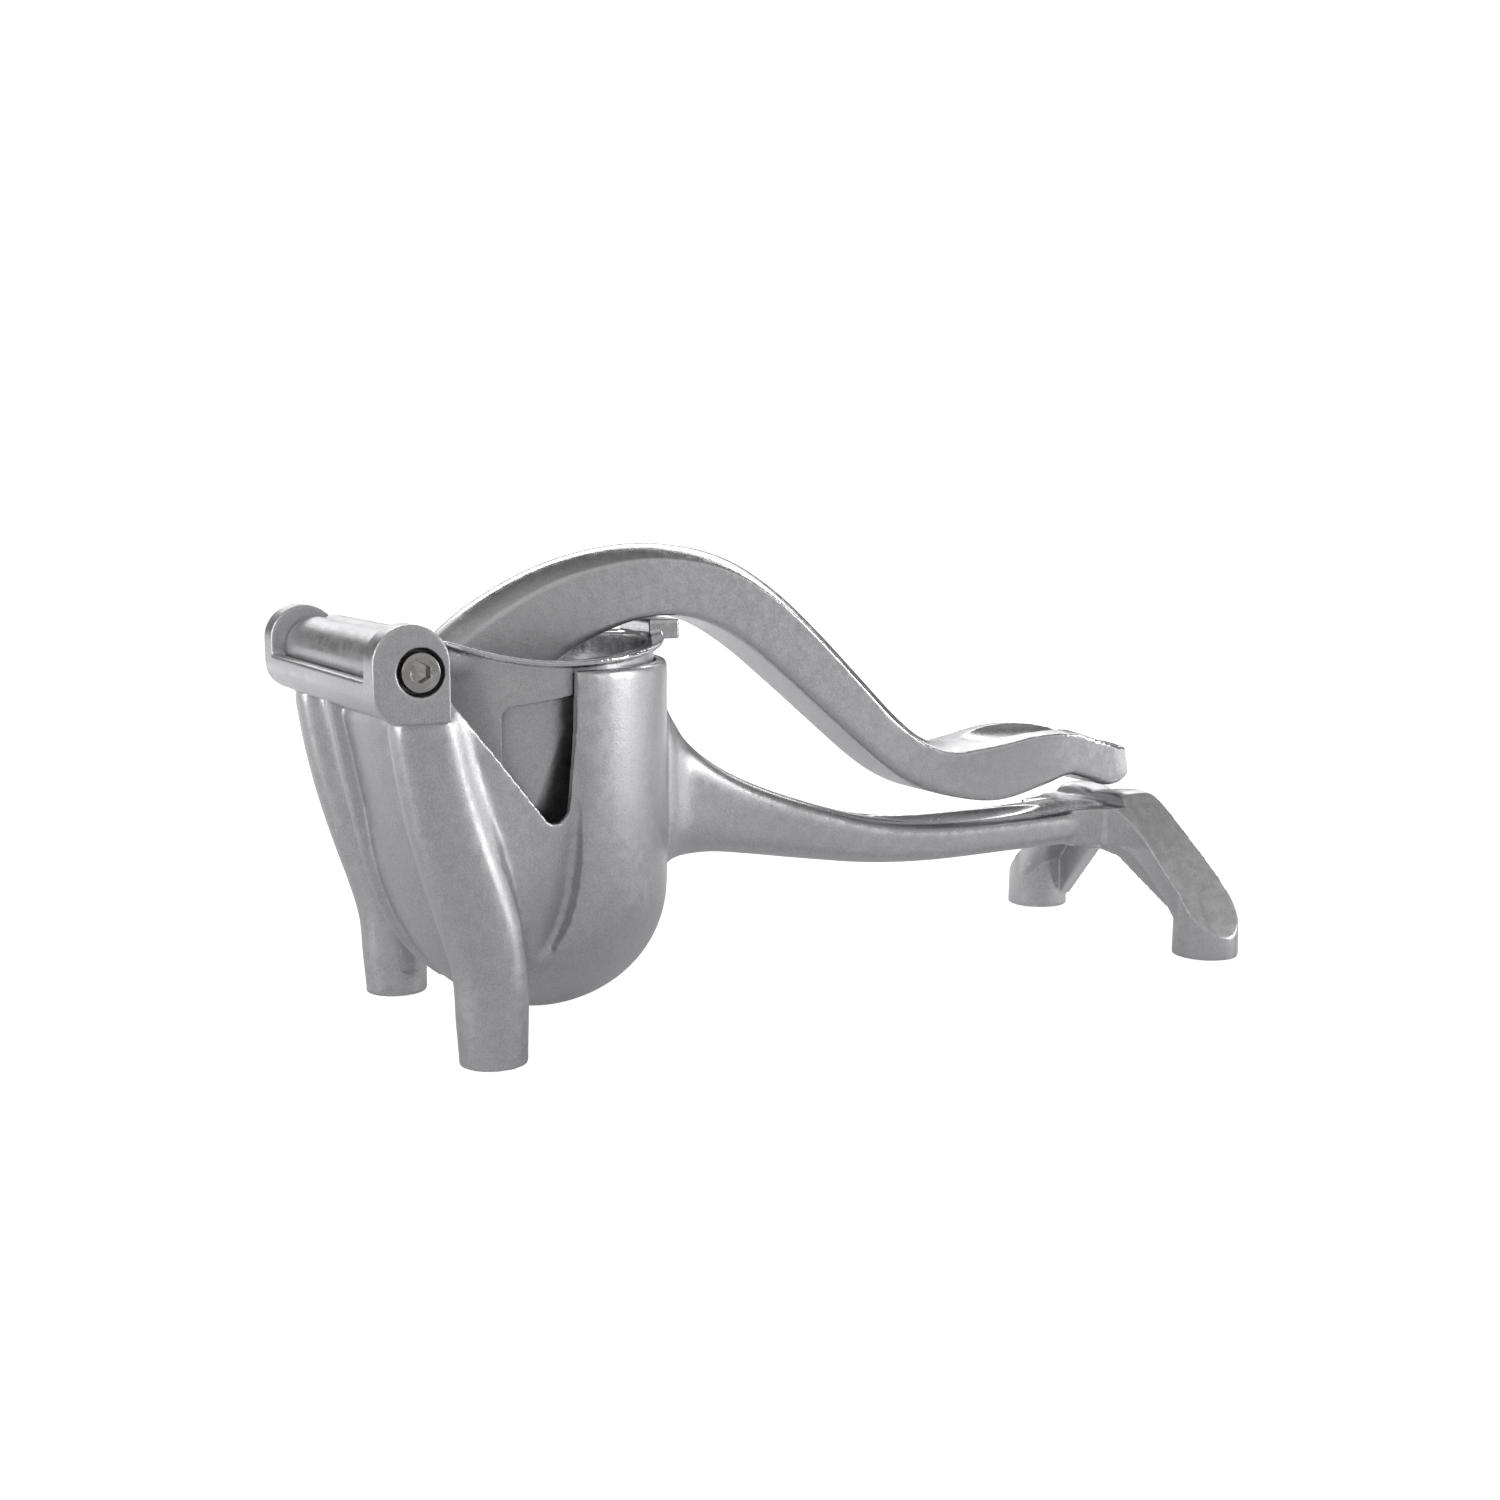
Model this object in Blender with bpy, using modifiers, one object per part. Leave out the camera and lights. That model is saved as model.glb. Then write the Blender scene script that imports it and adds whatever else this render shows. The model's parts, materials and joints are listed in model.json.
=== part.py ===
"""Hand lever fruit press in cast aluminium: pot on four feet, strainer basket, lever with press head.

Lengths are metres. +Z is up, +X runs from the hinge towards the handles, and the press is the same
on both sides of the XZ plane. The shapes are drawn from a datum on the ground midway between the
two front feet; every object hangs under an empty that sets this datum so that the world origin is
below the middle of the press.
"""
import bpy
import bmesh
from math import cos, pi, sin, sqrt
from mathutils import Matrix, Vector

MM = 0.001
OBJECT_NAME = "fruit_press"

# Feet
FRONT_FOOT_Y = 35.0 * MM
FRONT_FOOT_RADIUS = 7.75 * MM
REAR_FOOT_X = 209.5 * MM
REAR_FOOT_Y = 37.75 * MM
REAR_FOOT_RADIUS = 9.0 * MM
REAR_FOOT_HEIGHT = 17.0 * MM

# Cup of the pot
CUP_X = 19.5 * MM
CUP_RADIUS = 37.5 * MM
CUP_WALL = 2.6 * MM
CUP_TOP_Z = 87.6 * MM
CUP_BOTTOM_Z = 2.2 * MM
BOTTOM_X = 24.0 * MM
REAR_ROUND_Z = 32.0 * MM
FRONT_ROUND_Z = 58.0 * MM

# Hinge: ears, trough and bolt
EAR_X = -20.0 * MM
EAR_Z = 91.2 * MM
EAR_RADIUS = 8.5 * MM
EAR_BOTTOM_Z = 78.6 * MM
EAR_CORNER = 7.0 * MM
EAR_OUTER_Y = 45.1 * MM
EAR_INNER_Y = 38.0 * MM
HINGE_X = -18.0 * MM
HINGE_Z = 89.6 * MM
TROUGH_RADIUS = 7.8 * MM
TROUGH_LIP_Z = 87.6 * MM
BOLT_RADIUS = 2.5 * MM
BOLT_HOLE_RADIUS = 2.56 * MM
BOLT_HEAD_RADIUS = 4.3 * MM
BOLT_HEAD_LENGTH = 4.6 * MM
HEAD_RECESS_RADIUS = 5.2 * MM
HEAD_RECESS_DEPTH = 4.5 * MM
SOCKET_ACROSS_FLATS = 4.0 * MM
NUT_ACROSS_FLATS = 8.0 * MM
NUT_THICKNESS = 4.0 * MM
WASHER_THICKNESS = 1.0 * MM
WASHER_OUTER_RADIUS = 6.6 * MM

# Side notches, seen from the side: a steep rear edge and a slanted front edge
NOTCH_REAR_X = 21.8 * MM
NOTCH_FRONT_X = -11.0 * MM
NOTCH_FRONT_Z = 84.0 * MM
NOTCH_CORNER_X = 15.9 * MM
NOTCH_CORNER_Z = 56.4 * MM
NOTCH_CORNER_RADIUS = 3.4 * MM

# Lever
HUB_RADIUS = 7.3 * MM
HUB_HALF_LENGTH = 36.6 * MM
CROWN = 3.6 * MM
CROWN_END_X = 120.0 * MM
CROWN_FADE = 40.0 * MM
ARM_CORNER = 2.0 * MM
STOP_RIB_X = (-14.8 * MM, -11.6 * MM)
STOP_RIB_Z = (88.0 * MM, 97.2 * MM)
STOP_RIB_HALF_LENGTH = 36.0 * MM
HEAD_CLEARANCE = 1.6 * MM
HEAD_BOTTOM_Z = 29.5 * MM
HEAD_TOP_Z = 83.5 * MM

# Strainer basket
BASKET_RADIUS = 34.3 * MM
BASKET_WALL = 1.7 * MM
BASKET_BOTTOM_Z = 23.0 * MM
BASKET_ROUND = 34.0 * MM
RIM_RADIUS = 36.8 * MM
RIM_Z = 88.5 * MM
RIM_THICKNESS = 1.3 * MM
FRONT_LIFT = 10.0 * MM
REAR_LIFT = 3.6 * MM
SLOT_WIDTH = 2.6 * MM

GAP = 0.3 * MM

# Datum: the ground point between the front feet, measured from the middle of the whole press.
DATUM_X = -(REAR_FOOT_X + REAR_FOOT_RADIUS + EAR_X - EAR_RADIUS) / 2


def clear_scene():
    for item in list(bpy.data.objects):
        bpy.data.objects.remove(item, do_unlink=True)


def make_collection(name):
    collection = bpy.data.collections.new(name)
    bpy.context.scene.collection.children.link(collection)
    return collection


def make_material(name, colour, roughness, metallic):
    material = bpy.data.materials.new(name)
    material.use_nodes = True
    shader = material.node_tree.nodes["Principled BSDF"]
    shader.inputs["Base Color"].default_value = (*colour, 1.0)
    shader.inputs["Roughness"].default_value = roughness
    shader.inputs["Metallic"].default_value = metallic
    material.diffuse_color = (*colour, 1.0)
    return material


def object_from_bmesh(name, shape):
    bmesh.ops.recalc_face_normals(shape, faces=shape.faces)
    mesh = bpy.data.meshes.new(name)
    shape.to_mesh(mesh)
    shape.free()
    item = bpy.data.objects.new(name, mesh)
    bpy.context.scene.collection.objects.link(item)
    return item


def apply_modifiers(item):
    """Turns the evaluated shape of an object into its own mesh."""
    depsgraph = bpy.context.evaluated_depsgraph_get()
    mesh = bpy.data.meshes.new_from_object(item.evaluated_get(depsgraph))
    old_mesh = item.data
    item.modifiers.clear()
    item.data = mesh
    bpy.data.meshes.remove(old_mesh)


def combine(target, tools, operation):
    """Joins or cuts a target with tools that lie in the same frame, and removes the tools."""
    for tool in tools:
        modifier = target.modifiers.new("combine", "BOOLEAN")
        modifier.operation = operation
        modifier.solver = "EXACT"
        modifier.object = tool
        apply_modifiers(target)
        bpy.data.objects.remove(tool, do_unlink=True)


def tidy_mesh(item, distance=0.00002):
    """Welds the slivers that a boolean leaves."""
    shape = bmesh.new()
    shape.from_mesh(item.data)
    bmesh.ops.remove_doubles(shape, verts=shape.verts, dist=distance)
    bmesh.ops.dissolve_degenerate(shape, edges=shape.edges, dist=distance / 2)
    shape.to_mesh(item.data)
    shape.free()


def bevel_all(item, width, segments, angle=0.6):
    """Rounds the edges of a mesh that are sharper than the angle."""
    modifier = item.modifiers.new("round_edges", "BEVEL")
    modifier.width = width
    modifier.segments = segments
    modifier.limit_method = "ANGLE"
    modifier.angle_limit = angle
    apply_modifiers(item)


def box(name, low, high):
    shape = bmesh.new()
    bmesh.ops.create_cube(shape, size=1.0)
    for vert in shape.verts:
        for axis in range(3):
            middle = (low[axis] + high[axis]) / 2
            vert.co[axis] = middle + vert.co[axis] * (high[axis] - low[axis])
    return object_from_bmesh(name, shape)


def cylinder(name, radius, start, end, sides=32, end_radius=None):
    """A cylinder or cone between two points."""
    shape = bmesh.new()
    length = (Vector(end) - Vector(start)).length
    bmesh.ops.create_cone(shape, cap_ends=True, segments=sides, radius1=radius,
                          radius2=radius if end_radius is None else end_radius, depth=length)
    direction = Vector((0, 0, 1)).rotation_difference(Vector(end) - Vector(start))
    place = Matrix.Translation((Vector(start) + Vector(end)) / 2) @ direction.to_matrix().to_4x4()
    bmesh.ops.transform(shape, matrix=place, verts=shape.verts)
    return object_from_bmesh(name, shape)


def ellipsoid(name, centre, radii, sides=24):
    shape = bmesh.new()
    bmesh.ops.create_uvsphere(shape, u_segments=sides, v_segments=sides // 2, radius=1.0)
    bmesh.ops.transform(shape, matrix=Matrix.LocRotScale(Vector(centre), None, Vector(radii)),
                        verts=shape.verts)
    return object_from_bmesh(name, shape)


def extruded_outline(name, points, low_y, high_y):
    """A closed outline in the XZ plane, extruded along Y."""
    curve = bpy.data.curves.new(name, "CURVE")
    curve.dimensions = "2D"
    curve.fill_mode = "BOTH"
    curve.extrude = (high_y - low_y) / 2
    spline = curve.splines.new("POLY")
    spline.points.add(len(points) - 1)
    for spot, (x, z) in zip(spline.points, points):
        spot.co = (x, z, 0.0, 1.0)
    spline.use_cyclic_u = True
    flat = bpy.data.objects.new(name + "_outline", curve)
    bpy.context.scene.collection.objects.link(flat)
    flat.matrix_world = Matrix.Translation((0, (low_y + high_y) / 2, 0)) @ Matrix.Rotation(pi / 2, 4, "X")
    bpy.context.view_layer.update()
    mesh = bpy.data.meshes.new_from_object(flat.evaluated_get(bpy.context.evaluated_depsgraph_get()))
    mesh.transform(flat.matrix_world)
    bpy.data.objects.remove(flat, do_unlink=True)
    shape = bmesh.new()
    shape.from_mesh(mesh)
    bmesh.ops.remove_doubles(shape, verts=shape.verts, dist=0.00001)
    return object_from_bmesh(name, shape)


def loft(name, rings):
    """A closed skin over rings of equally many points, with its two ends closed."""
    shape = bmesh.new()
    loops = [[shape.verts.new(point) for point in ring] for ring in rings]
    count = len(loops[0])
    for lower, upper in zip(loops, loops[1:]):
        for i in range(count):
            j = (i + 1) % count
            shape.faces.new((lower[i], lower[j], upper[j], upper[i]))
    shape.faces.new(loops[0][::-1])
    shape.faces.new(loops[-1])
    return object_from_bmesh(name, shape)


def turned(name, profile, centre, sides):
    """A profile of (radius, height) pairs turned about a vertical axis by a Screw modifier."""
    mesh = bpy.data.meshes.new(name)
    points = [(radius, 0.0, height) for radius, height in profile]
    edges = [(i, i + 1) for i in range(len(points) - 1)]
    mesh.from_pydata(points, edges, [])
    item = bpy.data.objects.new(name, mesh)
    bpy.context.scene.collection.objects.link(item)
    screw = item.modifiers.new("turn", "SCREW")
    screw.steps = sides
    screw.render_steps = sides
    screw.use_merge_vertices = True
    screw.merge_threshold = 0.00001
    apply_modifiers(item)
    shape = bmesh.new()
    shape.from_mesh(item.data)
    bmesh.ops.translate(shape, vec=Vector(centre), verts=shape.verts)
    bmesh.ops.remove_doubles(shape, verts=shape.verts, dist=0.00001)
    bpy.data.objects.remove(item, do_unlink=True)
    return object_from_bmesh(name, shape)


def ellipse_ring(x, y, z, radius_x, radius_y, count):
    angles = [2 * pi * i / count for i in range(count)]
    return [(x + radius_x * cos(a), y + radius_y * sin(a), z) for a in angles]


def block_ring(width, height, power, count):
    """Offsets of a rounded rectangle, from a superellipse: pairs across and up."""
    offsets = []
    for i in range(count):
        a = 2 * pi * i / count
        across = width * abs(cos(a)) ** (2 / power) * (1 if cos(a) >= 0 else -1)
        up = height * abs(sin(a)) ** (2 / power) * (1 if sin(a) >= 0 else -1)
        offsets.append((across, up))
    return offsets


def smooth_stations(stations, steps):
    """Reads more stations from a smooth curve through the given ones (Catmull-Rom)."""
    result = []
    last = len(stations) - 1
    for i in range(last):
        a, b = stations[max(i - 1, 0)], stations[i]
        c, d = stations[i + 1], stations[min(i + 2, last)]
        for k in range(steps):
            t = k / steps
            result.append(tuple(
                0.5 * (2 * q + (r - p) * t + (2 * p - 5 * q + 4 * r - s) * t ** 2
                       + (3 * q - p - 3 * r + s) * t ** 3)
                for p, q, r, s in zip(a, b, c, d)))
    result.append(stations[last])
    return result


def cup_rings(shrink, top_z, count):
    """Rings of the cup: upright above, with a bottom that is rounder at the rear than at the front."""
    rings = []
    bottom = CUP_BOTTOM_Z + shrink
    shares = (0.0, 0.008, 0.03, 0.065, 0.11, 0.17, 0.24, 0.32, 0.42, 0.56, 1.0)
    levels = [bottom + (top_z - bottom) * share for share in shares]
    for z in levels:
        rear = cup_reach(z, REAR_ROUND_Z, bottom, CUP_X + CUP_RADIUS - BOTTOM_X - shrink)
        front = cup_reach(z, FRONT_ROUND_Z, bottom, BOTTOM_X - (CUP_X - CUP_RADIUS) - shrink)
        radius = max((rear + front) / 2, 1.5 * MM)
        rings.append(ellipse_ring(BOTTOM_X + (rear - front) / 2, 0.0, z, radius, radius, count))
    return rings


def cup_reach(z, round_z, bottom_z, reach):
    """How far the cup reaches from its lowest point at a height: full above round_z, then an ellipse."""
    if z >= round_z:
        return reach
    depth = (round_z - z) / (round_z - bottom_z)
    return reach * sqrt(max(1 - depth ** 2, 0.0))


def leg_column(side):
    """Front leg: a rib with a flat outer face below the ear, which leans rearwards and ends as a round foot."""
    # height, front, rear, inner and outer edges in mm, and how square the section is
    stations = [(0.0, -7.75, 7.75, 27.25, 42.75, 2.0), (20.0, -9.3, 8.2, 27.8, 43.2, 2.1),
                (30.0, -12.0, 6.6, 28.4, 43.2, 2.5), (42.0, -15.8, 2.6, 29.2, 43.2, 2.9),
                (55.0, -19.4, -2.2, 30.2, 43.2, 3.1), (67.0, -21.8, -5.6, 31.0, 43.3, 3.1),
                (79.5, -23.6, -8.2, 31.4, 43.4, 3.1)]
    rings = []
    for z, front, rear, inner, outer, power in smooth_stations(stations, 2):
        offsets = block_ring((rear - front) / 2 * MM, (outer - inner) / 2 * MM, power, 20)
        middle_x, middle_y = (front + rear) / 2 * MM, side * (inner + outer) / 2 * MM
        rings.append([(middle_x + dx, middle_y + dy, z * MM) for dx, dy in offsets])
    return loft("leg_column", rings)


def front_panel():
    """Front wall between the legs, bulging forward to carry the trough."""
    # height, front edge, half width in mm
    stations = [(34.0, -11.0, 22.0), (46.0, -16.0, 29.0), (60.0, -19.2, 34.5), (72.0, -21.6, 37.0),
                (80.0, -23.4, 38.0)]
    back_x = 2.0 * MM
    rings = [[(back_x + dx, dy, z * MM) for dx, dy in
              block_ring(back_x - front * MM, half_width * MM, 2.8, 32)]
             for z, front, half_width in stations]
    return loft("front_panel", rings)


def side_web(side):
    """Flat wall between a front leg and the notch, which leans outwards towards the leg."""
    outline = [(-16.0, 84.0), (-6.0, 84.0), (20.5, 58.0), (20.5, 50.0), (8.0, 46.0), (-8.0, 34.0)]
    rear_x, rear_y, lean = 20.5, 37.4, 0.085
    inner = [(x * MM, side * 28.0 * MM, z * MM) for x, z in outline]
    outer = [(x * MM, side * (rear_y + (rear_x - x) * lean) * MM, z * MM) for x, z in outline]
    return loft("side_web", [inner, outer])


def ear_outline():
    """Ear and trough seen from the side: an arc above, and a rounded corner below at the front."""
    points = [(EAR_X + EAR_RADIUS, EAR_BOTTOM_Z)]
    corner_steps = 6
    for i in range(corner_steps + 1):
        a = -pi / 2 - pi / 2 * i / corner_steps
        points.append((EAR_X - EAR_RADIUS + EAR_CORNER * (1 + cos(a)),
                       EAR_BOTTOM_Z + EAR_CORNER * (1 + sin(a))))
    arc_steps = 14
    for i in range(arc_steps + 1):
        a = pi - pi * i / arc_steps
        points.append((EAR_X + EAR_RADIUS * cos(a), EAR_Z + EAR_RADIUS * sin(a)))
    return points


def handle_sections():
    """Rings of the lower handle, from the rear wall of the cup to the fork."""
    # x, top, bottom, half width in mm
    stations = [(50.0, 84.0, 30.0, 12.5), (57.0, 75.0, 34.6, 11.8), (63.0, 66.2, 36.2, 11.0),
                (71.0, 59.6, 36.2, 10.6), (82.0, 53.6, 34.6, 10.4), (98.0, 47.4, 31.9, 10.6),
                (118.0, 41.4, 29.0, 11.0), (138.0, 38.6, 27.9, 11.4), (164.0, 38.2, 28.2, 11.8),
                (190.0, 39.0, 28.4, 12.2), (203.0, 39.6, 29.0, 12.4)]
    rings = []
    for x, top, bottom, half_width in smooth_stations(stations, 2):
        middle, height = (top + bottom) / 2 * MM, (top - bottom) / 2 * MM
        ring = [(x * MM, across, middle + up)
                for across, up in block_ring(half_width * MM, height, 5.0, 24)]
        rings.append(ring)
    return rings


def rear_leg(side):
    """Bar from the end of the handle down to a rear foot, flat on its sloping top."""
    # across, front edge, rear edge, top, bottom in mm
    stations = [(-1.0, 198.0, 208.0, 41.4, 28.0), (11.0, 198.0, 210.5, 42.6, 26.6),
                (20.0, 198.4, 213.4, 39.0, 23.4), (29.0, 199.6, 216.4, 29.0, 15.0),
                (36.0, 201.0, 218.0, 21.0, 6.0), (41.5, 203.0, 217.0, 14.0, 3.0)]
    rings = []
    for across, front, rear, top, bottom in stations:
        centre_x, centre_z = (front + rear) / 2 * MM, (top + bottom) / 2 * MM
        rings.append([(centre_x + dx, side * across * MM, centre_z + dz)
                      for dx, dz in block_ring((rear - front) / 2 * MM, (top - bottom) / 2 * MM, 6.0, 20)])
    return loft("rear_leg", rings)


def rear_web(side):
    """Plate along the rear edge of a rear bar, which reaches further down than the bar."""
    # across and height in mm
    outline = [(-2.0, 30.0), (-2.0, 24.5), (6.3, 22.6), (19.4, 12.1), (30.0, 3.6), (36.4, 3.6), (36.4, 15.0),
               (29.0, 24.0), (11.0, 36.0)]
    middle_x, slant, thickness = 206.4, 0.327, 4.5
    rings = [[((middle_x + slant * y + shift) * MM, side * y * MM, z * MM) for y, z in outline]
             for shift in (-thickness, 0.0)]
    return loft("rear_web", rings)


def notch_cutter(side):
    """Notch in the side wall: V-shaped, with a rounded corner at its foot."""
    points = [(NOTCH_FRONT_X, 0.105), (NOTCH_FRONT_X, NOTCH_FRONT_Z)]
    slope = Vector((NOTCH_CORNER_X - NOTCH_FRONT_X, NOTCH_CORNER_Z - NOTCH_FRONT_Z)).normalized()
    start_angle = (-slope.orthogonal()).angle_signed(Vector((1, 0)))
    arc_steps = 6
    for i in range(arc_steps + 1):
        a = start_angle * (1 - i / arc_steps)
        points.append((NOTCH_CORNER_X + NOTCH_CORNER_RADIUS * cos(a),
                       NOTCH_CORNER_Z + NOTCH_CORNER_RADIUS * sin(a)))
    points.append((NOTCH_REAR_X, 0.105))
    low_y, high_y = sorted((side * 18.0 * MM, side * 60.0 * MM))
    return extruded_outline("notch", points, low_y, high_y)


def bolt_hole(name, radius, low_y, high_y, sides=32):
    return cylinder(name, radius, (HINGE_X, low_y, HINGE_Z), (HINGE_X, high_y, HINGE_Z), sides)


def build_pot():
    """One casting: cup, front legs, ears and trough, lower handle and rear legs."""
    pot = loft("pot_body", cup_rings(0.0, CUP_TOP_Z, 48))
    ears = extruded_outline("ears", ear_outline(), -EAR_OUTER_Y, EAR_OUTER_Y)
    tools = [front_panel(), loft("handle", handle_sections()), ears]
    for side in (-1, 1):
        tools += [leg_column(side), side_web(side), rear_leg(side), rear_web(side)]
        tools.append(cylinder("rear_foot", REAR_FOOT_RADIUS, (REAR_FOOT_X, side * REAR_FOOT_Y, 0.0),
                              (REAR_FOOT_X, side * REAR_FOOT_Y, REAR_FOOT_HEIGHT), 28,
                              REAR_FOOT_RADIUS * 0.97))
    combine(pot, tools, "UNION")

    cavity = loft("cavity", cup_rings(CUP_WALL, 0.105, 48))
    scoops = []
    for side in (-1, 1):
        inner_bulge = ellipsoid("inner_bulge", (12.0 * MM, side * 46.0 * MM, 35.0 * MM),
                                (10.8 * MM, 14.6 * MM, 22.0 * MM))
        combine(cavity, [inner_bulge], "DIFFERENCE")
        scoops.append(ellipsoid("scoop", (12.0 * MM, side * 46.0 * MM, 35.0 * MM),
                                (9.4 * MM, 12.7 * MM, 20.5 * MM)))
    hub_space = box("hub_space", (-40.0 * MM, -EAR_INNER_Y, TROUGH_LIP_Z), (-4.0 * MM, EAR_INNER_Y, 0.105))
    trough = bolt_hole("trough", TROUGH_RADIUS, -EAR_INNER_Y, EAR_INNER_Y, 36)
    neck_space = box("neck_space", (HINGE_X, -13.0 * MM, 76.0 * MM), (0.0, 13.0 * MM, 0.105))
    dish = ellipsoid("dish", (152.0 * MM, 0.0, 43.0 * MM), (33.0 * MM, 9.4 * MM, 8.2 * MM), 24)
    slope_cuts = [rear_slope_cut(side) for side in (-1, 1)]
    cutters = [cavity, hub_space, trough, neck_space, dish]
    cutters += [notch_cutter(side) for side in (-1, 1)] + scoops + slope_cuts
    cutters.append(bolt_hole("bolt_hole", BOLT_HOLE_RADIUS, -60.0 * MM, 60.0 * MM))
    for side in (-1, 1):
        low_y, high_y = sorted((side * (EAR_OUTER_Y - HEAD_RECESS_DEPTH), side * 60.0 * MM))
        cutters.append(bolt_hole("head_recess", HEAD_RECESS_RADIUS, low_y, high_y))
    combine(pot, cutters, "DIFFERENCE")
    tidy_mesh(pot)
    return pot


def rear_slope_cut(side):
    """Cuts a rear foot and its bar off along one sloping plane, so that the top of both is flat."""
    outline = [(side * 13.0 * MM, 42.6 * MM), (side * 48.0 * MM, 4.6 * MM), (side * 60.0 * MM, 4.6 * MM),
               (side * 60.0 * MM, 60.0 * MM), (side * 13.0 * MM, 60.0 * MM)]
    rings = [[(x, y, z) for y, z in outline] for x in (185.0 * MM, 230.0 * MM)]
    return loft("slope_cut", rings)


def arm_section(half_width, thickness, crown, count):
    """Section of the arm, across and up: a crowned top that meets flat sides in an edge, softer below."""
    points = []
    for i in range(count + 1):
        t = 1 - 2 * i / count
        points.append((half_width * t, thickness / 2 - crown * t * t))
    corner = min(ARM_CORNER, half_width / 2)
    for start, side in ((pi, -1), (-pi / 2, 1)):
        for i in range(count // 2 + 1):
            a = start + pi * i / (count // 2) / 2
            points.append((side * (half_width - corner) + corner * cos(a),
                           corner - thickness / 2 + corner * sin(a)))
    return points


def arm_rings():
    """Rings of the lever arm, square to its centre line."""
    # x and z of the centre line, thickness, half width in mm
    stations = [(-2.0, 77.2, 22.0, 9.0), (5.0, 83.6, 22.0, 9.2), (16.0, 92.2, 21.8, 9.4),
                (30.5, 100.3, 20.2, 9.6), (46.0, 105.1, 18.4, 9.8), (59.5, 105.9, 17.4, 9.8),
                (73.0, 102.9, 17.6, 9.8), (85.3, 95.9, 17.4, 9.8), (97.2, 86.2, 16.8, 9.8),
                (110.8, 74.0, 15.6, 9.8), (124.0, 62.2, 14.2, 10.0), (133.0, 56.0, 13.4, 10.6),
                (143.0, 52.4, 13.6, 11.8), (156.0, 51.8, 16.2, 13.4), (169.0, 54.3, 15.4, 14.4),
                (180.0, 55.5, 12.8, 14.2), (189.0, 53.3, 12.2, 13.2), (197.0, 50.8, 12.4, 11.4),
                (202.4, 50.9, 10.6, 10.0), (204.6, 51.2, 8.6, 8.8)]
    smooth = smooth_stations(stations, 2)
    rings = []
    for i, (x, z, thickness, half_width) in enumerate(smooth):
        before, after = smooth[max(i - 1, 0)], smooth[min(i + 1, len(smooth) - 1)]
        along = Vector((after[0] - before[0], 0.0, after[1] - before[1])).normalized()
        up = Vector((-along.z, 0.0, along.x))
        flattening = min(max((x * MM - CROWN_END_X) / CROWN_FADE, 0.0), 0.75)
        section = arm_section(half_width * MM, thickness * MM, CROWN * (1 - flattening), 8)
        rings.append([Vector((x * MM, across, z * MM)) + up * rise for across, rise in section])
    return rings


def press_head():
    """Press head: the part of a ring about the hinge that also stays inside the basket."""
    swing_radius = CUP_X - HINGE_X
    head_radius = BASKET_RADIUS - BASKET_WALL - HEAD_CLEARANCE
    shape = bmesh.new()
    steps_round, steps_along = 32, 9
    start, end = -1.62, -0.12
    loops = []
    for k in range(steps_along + 1):
        swing = start + (end - start) * k / steps_along
        loop = []
        for i in range(steps_round):
            a = 2 * pi * i / steps_round
            reach = swing_radius + head_radius * cos(a)
            loop.append(shape.verts.new((HINGE_X + reach * cos(swing), head_radius * sin(a),
                                         HINGE_Z + reach * sin(swing))))
        loops.append(loop)
    for lower, upper in zip(loops, loops[1:]):
        for i in range(steps_round):
            j = (i + 1) % steps_round
            shape.faces.new((lower[i], lower[j], upper[j], upper[i]))
    shape.faces.new(loops[0][::-1])
    shape.faces.new(loops[-1])
    head = object_from_bmesh("press_head", shape)
    keep = turned("head_limit", [(0.0, HEAD_TOP_Z), (head_radius - 0.4 * MM, HEAD_TOP_Z),
                                 (head_radius, 56.0 * MM), (head_radius - 2.0 * MM, 45.0 * MM),
                                 (head_radius - 7.6 * MM, 36.0 * MM), (head_radius - 16.0 * MM, 31.0 * MM),
                                 (0.0, HEAD_BOTTOM_Z)], (CUP_X, 0.0, 0.0), 40)
    combine(head, [keep], "INTERSECT")
    return head


def build_lever():
    """One casting: hub, arm with thumb rest, and press head."""
    lever = loft("press_lever", arm_rings())
    hub = bolt_hole("hub", HUB_RADIUS, -HUB_HALF_LENGTH, HUB_HALF_LENGTH, 36)
    stop_rib = box("stop_rib", (STOP_RIB_X[0], -STOP_RIB_HALF_LENGTH, STOP_RIB_Z[0]),
                   (STOP_RIB_X[1], STOP_RIB_HALF_LENGTH, STOP_RIB_Z[1]))
    neck_outline = [(-19.0 * MM, 83.6 * MM), (-6.0 * MM, 74.0 * MM), (8.0 * MM, 72.0 * MM),
                    (8.0 * MM, 90.0 * MM), (-4.0 * MM, 88.0 * MM), (-14.0 * MM, 93.6 * MM)]
    neck = extruded_outline("neck", neck_outline, -9.6 * MM, 9.6 * MM)
    combine(lever, [hub, stop_rib, neck, press_head()], "UNION")
    thumb_dish = ellipsoid("thumb_dish", (169.0 * MM, 0.0, 67.0 * MM), (27.0 * MM, 11.4 * MM, 9.4 * MM), 24)
    bore = bolt_hole("bore", BOLT_HOLE_RADIUS, -60.0 * MM, 60.0 * MM)
    combine(lever, [thumb_dish, bore], "DIFFERENCE")
    tidy_mesh(lever)
    return lever


def rim_lift(x):
    """Height that the basket's rim gains towards the hinge and towards the rear."""
    away = (x - CUP_X) / RIM_RADIUS
    return (FRONT_LIFT if away < 0 else REAR_LIFT) * away ** 2


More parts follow.
